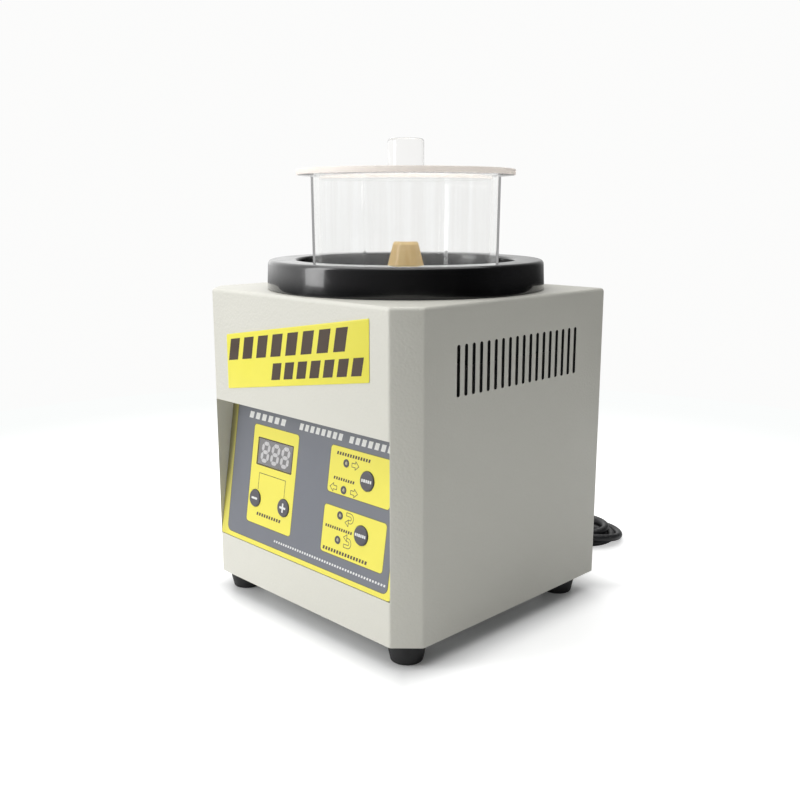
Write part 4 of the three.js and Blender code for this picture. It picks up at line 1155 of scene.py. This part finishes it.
def turning_arrow(x, y, size, way):
    """An arrow that bends back on itself, in outline."""
    arc = [(x + size * 0.55 * math.cos(a), y + way * size * 0.62 * math.sin(a))
           for a in (math.radians(90 - 22.5 * k) for k in range(9))]
    start = (x - size * 0.75, y + way * size * 0.62)
    end = (x - size * 0.3, y - way * size * 0.62)
    tip = [(end[0], end[1] + size * 0.42), (end[0] - size * 0.6, end[1]), (end[0], end[1] - size * 0.42),
           (end[0], end[1] + size * 0.42)]
    inner = [(x + size * 0.18 * math.cos(a), y + way * size * 0.22 * math.sin(a))
             for a in (math.radians(90 - 30 * k) for k in range(7))]
    inner_start = (start[0], y + way * size * 0.22)
    inner_end = (end[0], y - way * size * 0.22)
    return [[start, *arc, end], [inner_start, *inner, inner_end], tip, [start, inner_start]]


def seven_segments(x, y, width, height, thick):
    """One unlit figure eight."""
    half, gap = height / 2, 0.35
    shapes = []
    for up in (-half, 0.0, half):
        a, b = -width / 2 + gap + thick / 2, width / 2 - gap - thick / 2
        shapes.append([(a - thick / 2, up), (a, up + thick / 2), (b, up + thick / 2), (b + thick / 2, up),
                       (b, up - thick / 2), (a, up - thick / 2)])
    for side in (-width / 2, width / 2):
        for low, high in ((-half, 0.0), (0.0, half)):
            a, b = low + gap + thick / 2, high - gap - thick / 2
            shapes.append([(side, a - thick / 2), (side + thick / 2, a), (side + thick / 2, b),
                           (side, b + thick / 2), (side - thick / 2, b), (side - thick / 2, a)])
    lean = 0.12
    return [[Vector((x + px + lean * py, y + py)) for px, py in shape] for shape in shapes]


def add_panel_film():
    every_hole = field_holes(-200, 200, 0, 200)
    outline = rounded_box(0, (0.7 + FILM_TOP) / 2, 205.4, FILM_TOP - 0.7, 2.0)
    mesh = cut_sheet("panel_film", [outline, *every_hole], -0.6, 0.0, placing=ON_PANEL)
    add_piece("panel_film", mesh, film_border_shaded, stands_for=["panel_overlay"])

    def ground(left, right, low, top, radius):
        return filleted([(left, low, radius), (right, low, radius), (right, top, 0.5), (left, top, 0.5)], 6)

    grey = ground(-94.4, 99.4, 4.9, FILM_TOP - 0.4, 5)
    edge = ground(-94.9, 99.9, 4.4, FILM_TOP - 0.3, 5.5)
    panel_print("print_grey_edge", [edge, *every_hole], PRINT_LOW, 0.02, ink_olive)
    panel_print("print_grey", [grey, *every_hole], PRINT_LOW, 0.04, film_grey)
    for name, (left, right, low, high) in FIELDS.items():
        middle = ((left + right) / 2, (low + high) / 2)
        size = (right - left, high - low)
        holes = field_holes(left, right, low, high)
        panel_print(f"print_{name}_edge", [rounded_box(*middle, size[0] + 1.0, size[1] + 1.0, 3.1), *holes],
                    PRINT_LOW, 0.06, ink_olive)
        panel_print(f"print_{name}", [rounded_box(*middle, *size, 2.6), *holes], PRINT_LOW, 0.08, film_yellow)
    frame_outer = rounded_box(WINDOW[0], WINDOW[1], WINDOW[2] + 1.8, WINDOW[3] + 1.8, 0.8)
    panel_print("print_window_frame", [frame_outer, rounded_box(*WINDOW, 0.6, 2)], 0.0, 0.11, ink_dark)


def add_panel_marks():
    x0, y0, r = KEYS["minus"]
    x1 = KEYS["plus"][0]
    bracket = [[(x0 + 2.5, y0 + r + 1), (x0 + 2.5, 60.5), (x1 - 0.5, 60.5), (x1 - 0.5, y0 + r + 1)]]
    line_print("print_bracket", bracket, 0.5, 0.11, ink_dark)
    strokes = [arrow(54.0, 88.0, 4.2, 1), arrow(32.5, 68.0, 4.2, -1), arrow(55.5, 68.0, 4.2, 1)]
    strokes += turning_arrow(54.5, 48.7, 6.0, 1) + turning_arrow(54.5, 30.2, 6.0, -1)
    line_print("print_arrows", strokes, 0.55, 0.11, ink_olive)
    dark = block_row(-57, -26, 27.2, 2.6, 10)
    dark += block_row(33, 69, 94.2, 2.4, 13) + block_row(32, 54.5, 75.4, 2.2, 9)
    dark += block_row(28, 57.5, 38.4, 2.2, 12) + block_row(27.5, 76, 21.2, 2.6, 16)
    panel_print("print_captions", dark, 0.0, 0.11, ink_dark)
    white = block_row(-78, -31, 105.6, 5.4, 6) + block_row(-13, 37, 106.0, 5.2, 8)
    white += block_row(45, 90, 106.0, 5.2, 7) + block_row(-31.5, 97, 10.4, 1.7, 44, 0.58)
    panel_print("print_title_bars", white, 0.0, 0.07, ink_white)


def add_window():
    across, up, width, height = WINDOW
    outline = rounded_box(across, up, width - 0.6, height - 0.6, 0.5, 3)
    mesh = cut_sheet("window_lens", [outline], -0.55, -0.05, 0.05, ON_PANEL)
    add_piece("window_lens", mesh, lens_grey, stands_for=["display_window"])
    figures = []
    for i in (-1, 0, 1):
        figures += seven_segments(across + 0.4 + i * 12.8, up + 0.2, 7.6, 14.2, 3.1)
    mesh = cut_sheet("window_figures", figures, -0.08, -0.03, placing=ON_PANEL)
    add_piece("window_figures", mesh, digit_grey)


def key_profile(radius):
    """A key from its stem, through the flange that holds it in, to its slightly hollow face."""
    return [(0, -8.9, 0), (2.8, -8.9, 0.2), (2.8, -3.6, 0), (radius + 1.3, -3.6, 0.1),
            (radius + 1.3, -2.75, 0.1), (radius, -2.7, 0), (radius, 0.8, 0.5), (radius - 0.9, 1.1, 0.6),
            (0, 0.95, 0)]


def add_keys_and_lights():
    marks = {"minus": [rounded_box(0, 0, 7.4, 1.7, 0.2, 2)],
             "plus": [filleted([(x, y, 0.15) for x, y in (
                 (-3.7, -0.85), (-0.85, -0.85), (-0.85, -3.7), (0.85, -3.7), (0.85, -0.85), (3.7, -0.85),
                 (3.7, 0.85), (0.85, 0.85), (0.85, 3.7), (-0.85, 3.7), (-0.85, 0.85), (-3.7, 0.85))], 2)],
             "select": word_bars(-5.2, 5.2, 0, 2.3, (3, 4, 3, 4, 3), 1.2),
             "start": word_bars(-5.6, 5.6, 0, 2.3, (3, 3, 4, 3, 4, 3), 1.2)}
    for name, (x, y, radius) in KEYS.items():
        body = f"key_{name}"
        placing = ON_PANEL @ Matrix.Translation((x, y, 0))
        add_turned(f"key_cap_{name}", key_profile(radius), key_moulding, body, "key_moulding", [body], steps=64,
                   placing=placing)
        add_piece(f"key_mark_{name}", cut_sheet(f"key_mark_{name}", marks[name], 0.9, 1.15, placing=placing),
                  ink_white, body)
    lens = [(0, -11.5, 0), (1.7, -11.5, 0), (1.7, -8, 0), (2.6, -8, 0), (2.6, -7, 0.2), (1.5, -7, 0),
            (1.5, 0.0, 0.3), (1.0, 0.5, 0.4), (0, 0.6, 0)]
    bezel = [(1.65, -0.55, 0), (2.3, -0.55, 0), (2.3, 0.1, 0), (3.1, 0.1, 0), (3.0, 0.4, 0.2),
             (1.65, 0.4, 0.15)]
    for name, (x, y) in LIGHTS.items():
        placing = ON_PANEL @ Matrix.Translation((x, y, 0))
        add_turned(f"light_{name}_lens", lens, light_lens, slot="light_lens", stands_for=[f"light_{name}"],
                   steps=32, placing=placing)
        add_turned(f"light_{name}_bezel", bezel, key_moulding, slot="switch_moulding", steps=40, closed=True,
                   placing=placing)


add_panel_film()
add_panel_marks()
add_window()
add_keys_and_lights()


# ---------------------------------------------------------------------------------------------
# Mains parts on the back panel
# ---------------------------------------------------------------------------------------------

FUSE_GRIPS = 18
ROCKER_TILT = math.radians(9)
ROCKER_SLOPE = math.atan2(1.5, 7.4)  # each half of the rocker's face, from the flat


def add_fuse_holder():
    back = out_of_back(FUSE_X, FUSE_Z)
    holder = [(4.3, -26, 0), (5.8, -26, 0.3), (5.8, 0.3, 0), (8, 0.3, 0.3), (8, 2.2, 0.8), (4.3, 2.2, 0.3)]
    add_turned("fuse_socket", holder, black_moulding, slot="mains_moulding", stands_for=["fuse_holder"],
               steps=48, closed=True, placing=back)
    cap = [(0, -5, 0), (3.9, -5, 0.4), (3.9, 2.5, 0), (6.6, 2.5, 0.3), (6.6, 9, 1.0), (0, 9, 0)]
    cap_mesh = turned_mesh("fuse_knob", cap, 72)
    cap_mesh.transform(Matrix.Scale(1 / MM, 4))

    def grooves(bm):
        for k in range(FUSE_GRIPS):
            turn = Matrix.Rotation(2 * math.pi * k / FUSE_GRIPS, 4, "Z")
            prism(bm, circle(7.0, 0, 0.75, 10), 3.4, 12, turn)
        block(bm, (-4.2, -0.7, 7.7), (4.2, 0.7, 12))

    carved = carve(cap_mesh, [("DIFFERENCE", tool_mesh(grooves))])
    bm = bmesh.new()
    bm.from_mesh(carved)
    bm.transform(back)
    add_piece("fuse_knob", mesh_from(bm, "fuse_knob", 30), black_moulding, "fuse_cap",
              ["fuse_cap"])


def add_rocker_marks():
    for name in ("rocker_housing", "rocker_key"):
        soften(nodes[name], 0.35, 3)
    axle = Matrix.Translation((SWITCH_X, REAR_FACE - 2, SWITCH_Z))
    face = axle @ Matrix.Rotation(ROCKER_TILT, 4, "X") @ FACING_BACK
    upper = face @ Matrix.Rotation(ROCKER_SLOPE, 4, "X")
    lower = face @ Matrix.Rotation(-ROCKER_SLOPE, 4, "X")
    bar = [rounded_box(0, 3.9, 1.0, 3.4, 0.3, 2)]
    add_piece("rocker_mark_on", cut_sheet("rocker_mark_on", bar, 3.3, 3.52, placing=upper), ink_white,
              "power_switch")
    ring = [circle(0, -4.2, 1.7, 24), circle(0, -4.2, 1.1, 24)]
    add_piece("rocker_mark_off", cut_sheet("rocker_mark_off", ring, 3.3, 3.52, placing=lower), ink_white,
              "power_switch")


add_fuse_holder()
add_rocker_marks()


# ---------------------------------------------------------------------------------------------
# The model's own solids that stay: a small round on each edge and a finish
# ---------------------------------------------------------------------------------------------

KEPT = {
    base_zinc: ["base_plate"],
    panel_sheet_zinc: ["panel_plate"],
    bracket_paint: ["motor_bracket"],
    display_body: ["display_module"],
    board_green: ["control_board"],
    switch_black: ["key_switch_minus", "key_switch_plus", "key_switch_select", "key_switch_start"],
    black_moulding: ["rocker_housing", "rocker_key"],
    motor_casting: ["motor_housing", "motor_end_cap"],
    motor_core: ["motor_stator", "motor_rotor", "transformer"],
    ground_steel: ["motor_shaft", "upper_bearing", "lower_bearing", "shaft_nut"],
    turned_aluminium: ["magnet_disc"],
    magnet_nickel: [f"magnet_{i}" for i in range(1, 7)],
    fan_nylon: ["cooling_fan"],
    can_plastic: ["run_capacitor"],
    fuse_glass: ["fuse_link"],
}


def finish_kept_nodes():
    for material, names in KEPT.items():
        for name in names:
            node = nodes[name]
            node.data.materials.clear()
            node.data.materials.append(material)
            if not node.modifiers:
                soften(node, 0.25, 2, 50)


finish_kept_nodes()


# ---------------------------------------------------------------------------------------------
# Floor and light
# ---------------------------------------------------------------------------------------------

PAPER_RADIUS = 0.95
PAPER_BLEND = 0.42
PAPER_STEPS = 96
PAPER_GLOW = 0.52
GLOW_START, GLOW_FULL = 0.106, 0.150  # how far out from the machine's middle the paper starts to glow
FAR_GLOW = 0.98
ROOM_WHITE = 0.97
TO_RIGHT = (0.701, 0.713, 0.0)
TO_FRONT = (0.713, -0.701, 0.0)


def add_floor():
    """A round sheet of white paper whose far part fades into the white room. Where the camera sees it, the
    paper glows with painted light, kept low in a square close round the machine, where the floor stays darker.
    """
    bm = bmesh.new()
    turned(bm, [(0, 0), (PAPER_BLEND / MM, 0), (PAPER_RADIUS / MM, 0)], PAPER_STEPS)
    for face in list(bm.faces):
        if len(face.verts) == PAPER_STEPS:
            bm.faces.remove(face)
    mesh = mesh_from(bm, "floor")
    made = Finish("white_paper", (0.90, 0.905, 0.905), 0.34)
    made.set(Emission_Strength=PAPER_GLOW)
    made.gloss(made.group(HANDLING, Size=3.0)["Smudge"], 0.05)
    tree = made.tree
    away = tree.nodes.new("ShaderNodeVectorMath")
    away.operation = "LENGTH"
    tree.links.new(made.place, away.inputs[0])
    parts = tree.nodes.new("ShaderNodeSeparateXYZ")
    tree.links.new(made.place, parts.inputs[0])
    beside = math_node(tree, "MAXIMUM", math_node(tree, "ABSOLUTE", parts.outputs["X"]),
                       math_node(tree, "ABSOLUTE", parts.outputs["Y"]))
    # painted light on the paper: seen by the camera only, and kept low close round the machine
    seen = tree.nodes.new("ShaderNodeLightPath").outputs["Is Camera Ray"]
    glow = math_node(tree, "MULTIPLY", spread(tree, beside, GLOW_START, GLOW_FULL, 0.06, 1.0), seen)
    tree.links.new(glow, made.shader.inputs["Emission Color"])
    white = tree.nodes.new("ShaderNodeEmission")
    white.inputs["Color"].default_value = (0.985, 1.0, 0.993, 1.0)
    white.inputs["Strength"].default_value = FAR_GLOW
    blend = tree.nodes.new("ShaderNodeMixShader")
    fade = spread(tree, away.outputs["Value"], PAPER_BLEND * 0.6, PAPER_RADIUS * 0.9)
    tree.links.new(fade, blend.inputs["Fac"])
    tree.links.new(made.shader.outputs["BSDF"], blend.inputs[1])
    tree.links.new(white.outputs["Emission"], blend.inputs[2])
    tree.links.new(blend.outputs["Shader"], tree.nodes["Material Output"].inputs["Surface"])
    mesh.materials.append(made.material)
    floor = bpy.data.objects.new("floor", mesh)
    bpy.context.scene.collection.objects.link(floor)


def add_soft_light(name, place, aim, width, height, power):
    data = bpy.data.lights.new(name, "AREA")
    data.shape = "RECTANGLE"
    data.size, data.size_y = width, height
    data.energy = power
    light = bpy.data.objects.new(name, data)
    bpy.context.scene.collection.objects.link(light)
    light.location = place
    light.rotation_mode = "QUATERNION"
    light.rotation_quaternion = (Vector(aim) - Vector(place)).to_track_quat("-Z", "Y")


def set_surroundings():
    """A room that lights from the left, with a dim right and front, and looks plain white when looked at."""
    world = bpy.data.worlds.new("studio")
    bpy.context.scene.world = world
    world.use_nodes = True
    tree = world.node_tree
    background = tree.nodes["Background"]
    place = tree.nodes.new("ShaderNodeTexCoord").outputs["Generated"]

    def along(direction):
        made = tree.nodes.new("ShaderNodeVectorMath")
        made.operation = "DOT_PRODUCT"
        tree.links.new(place, made.inputs[0])
        made.inputs[1].default_value = direction
        return made.outputs["Value"]

    to_right = along(TO_RIGHT)
    to_front = along(TO_FRONT)
    upward = along((0.0, 0.0, 1.0))
    side = spread(tree, to_right, -0.40, 0.50, 1.15, 0.27)
    front = spread(tree, to_front, -0.1, 0.7, 1.0, 0.22)
    above = spread(tree, upward, -0.12, 0.02, 0.10, 1.0)
    level = math_node(tree, "MULTIPLY", math_node(tree, "MULTIPLY", side, front), above)
    rays = tree.nodes.new("ShaderNodeLightPath")
    dim = math_node(tree, "MULTIPLY", spread(tree, to_right, 0.35, 0.75, 1.0, 0.25),
                    spread(tree, to_front, 0.6, 0.95, 1.0, 0.5))
    dim = math_node(tree, "MULTIPLY", math_node(tree, "SUBTRACT", 1.0, dim), rays.outputs["Is Glossy Ray"])
    level = math_node(tree, "MULTIPLY", level, math_node(tree, "SUBTRACT", 1.0, dim))
    straight = math_node(tree, "ADD", rays.outputs["Is Camera Ray"], rays.outputs["Is Transmission Ray"],
                         True)
    pick = tree.nodes.new("ShaderNodeMix")
    tree.links.new(straight, pick.inputs["Factor"])
    tree.links.new(level, pick.inputs["A"])
    pick.inputs["B"].default_value = ROOM_WHITE
    tree.links.new(pick.outputs["Result"], background.inputs["Strength"])
    background.inputs["Color"].default_value = (1.0, 1.0, 0.995, 1.0)


add_floor()
set_surroundings()
add_soft_light("window_light", (-0.82, -1.38, 0.80), (0, 0, 0.2), 0.60, 1.3, 11.8)
add_soft_light("ceiling_light", (-0.15, 0.0, 2.0), (0, 0, 0.1), 2.4, 2.4, 23.0)
bpy.context.scene.view_settings.view_transform = "Standard"
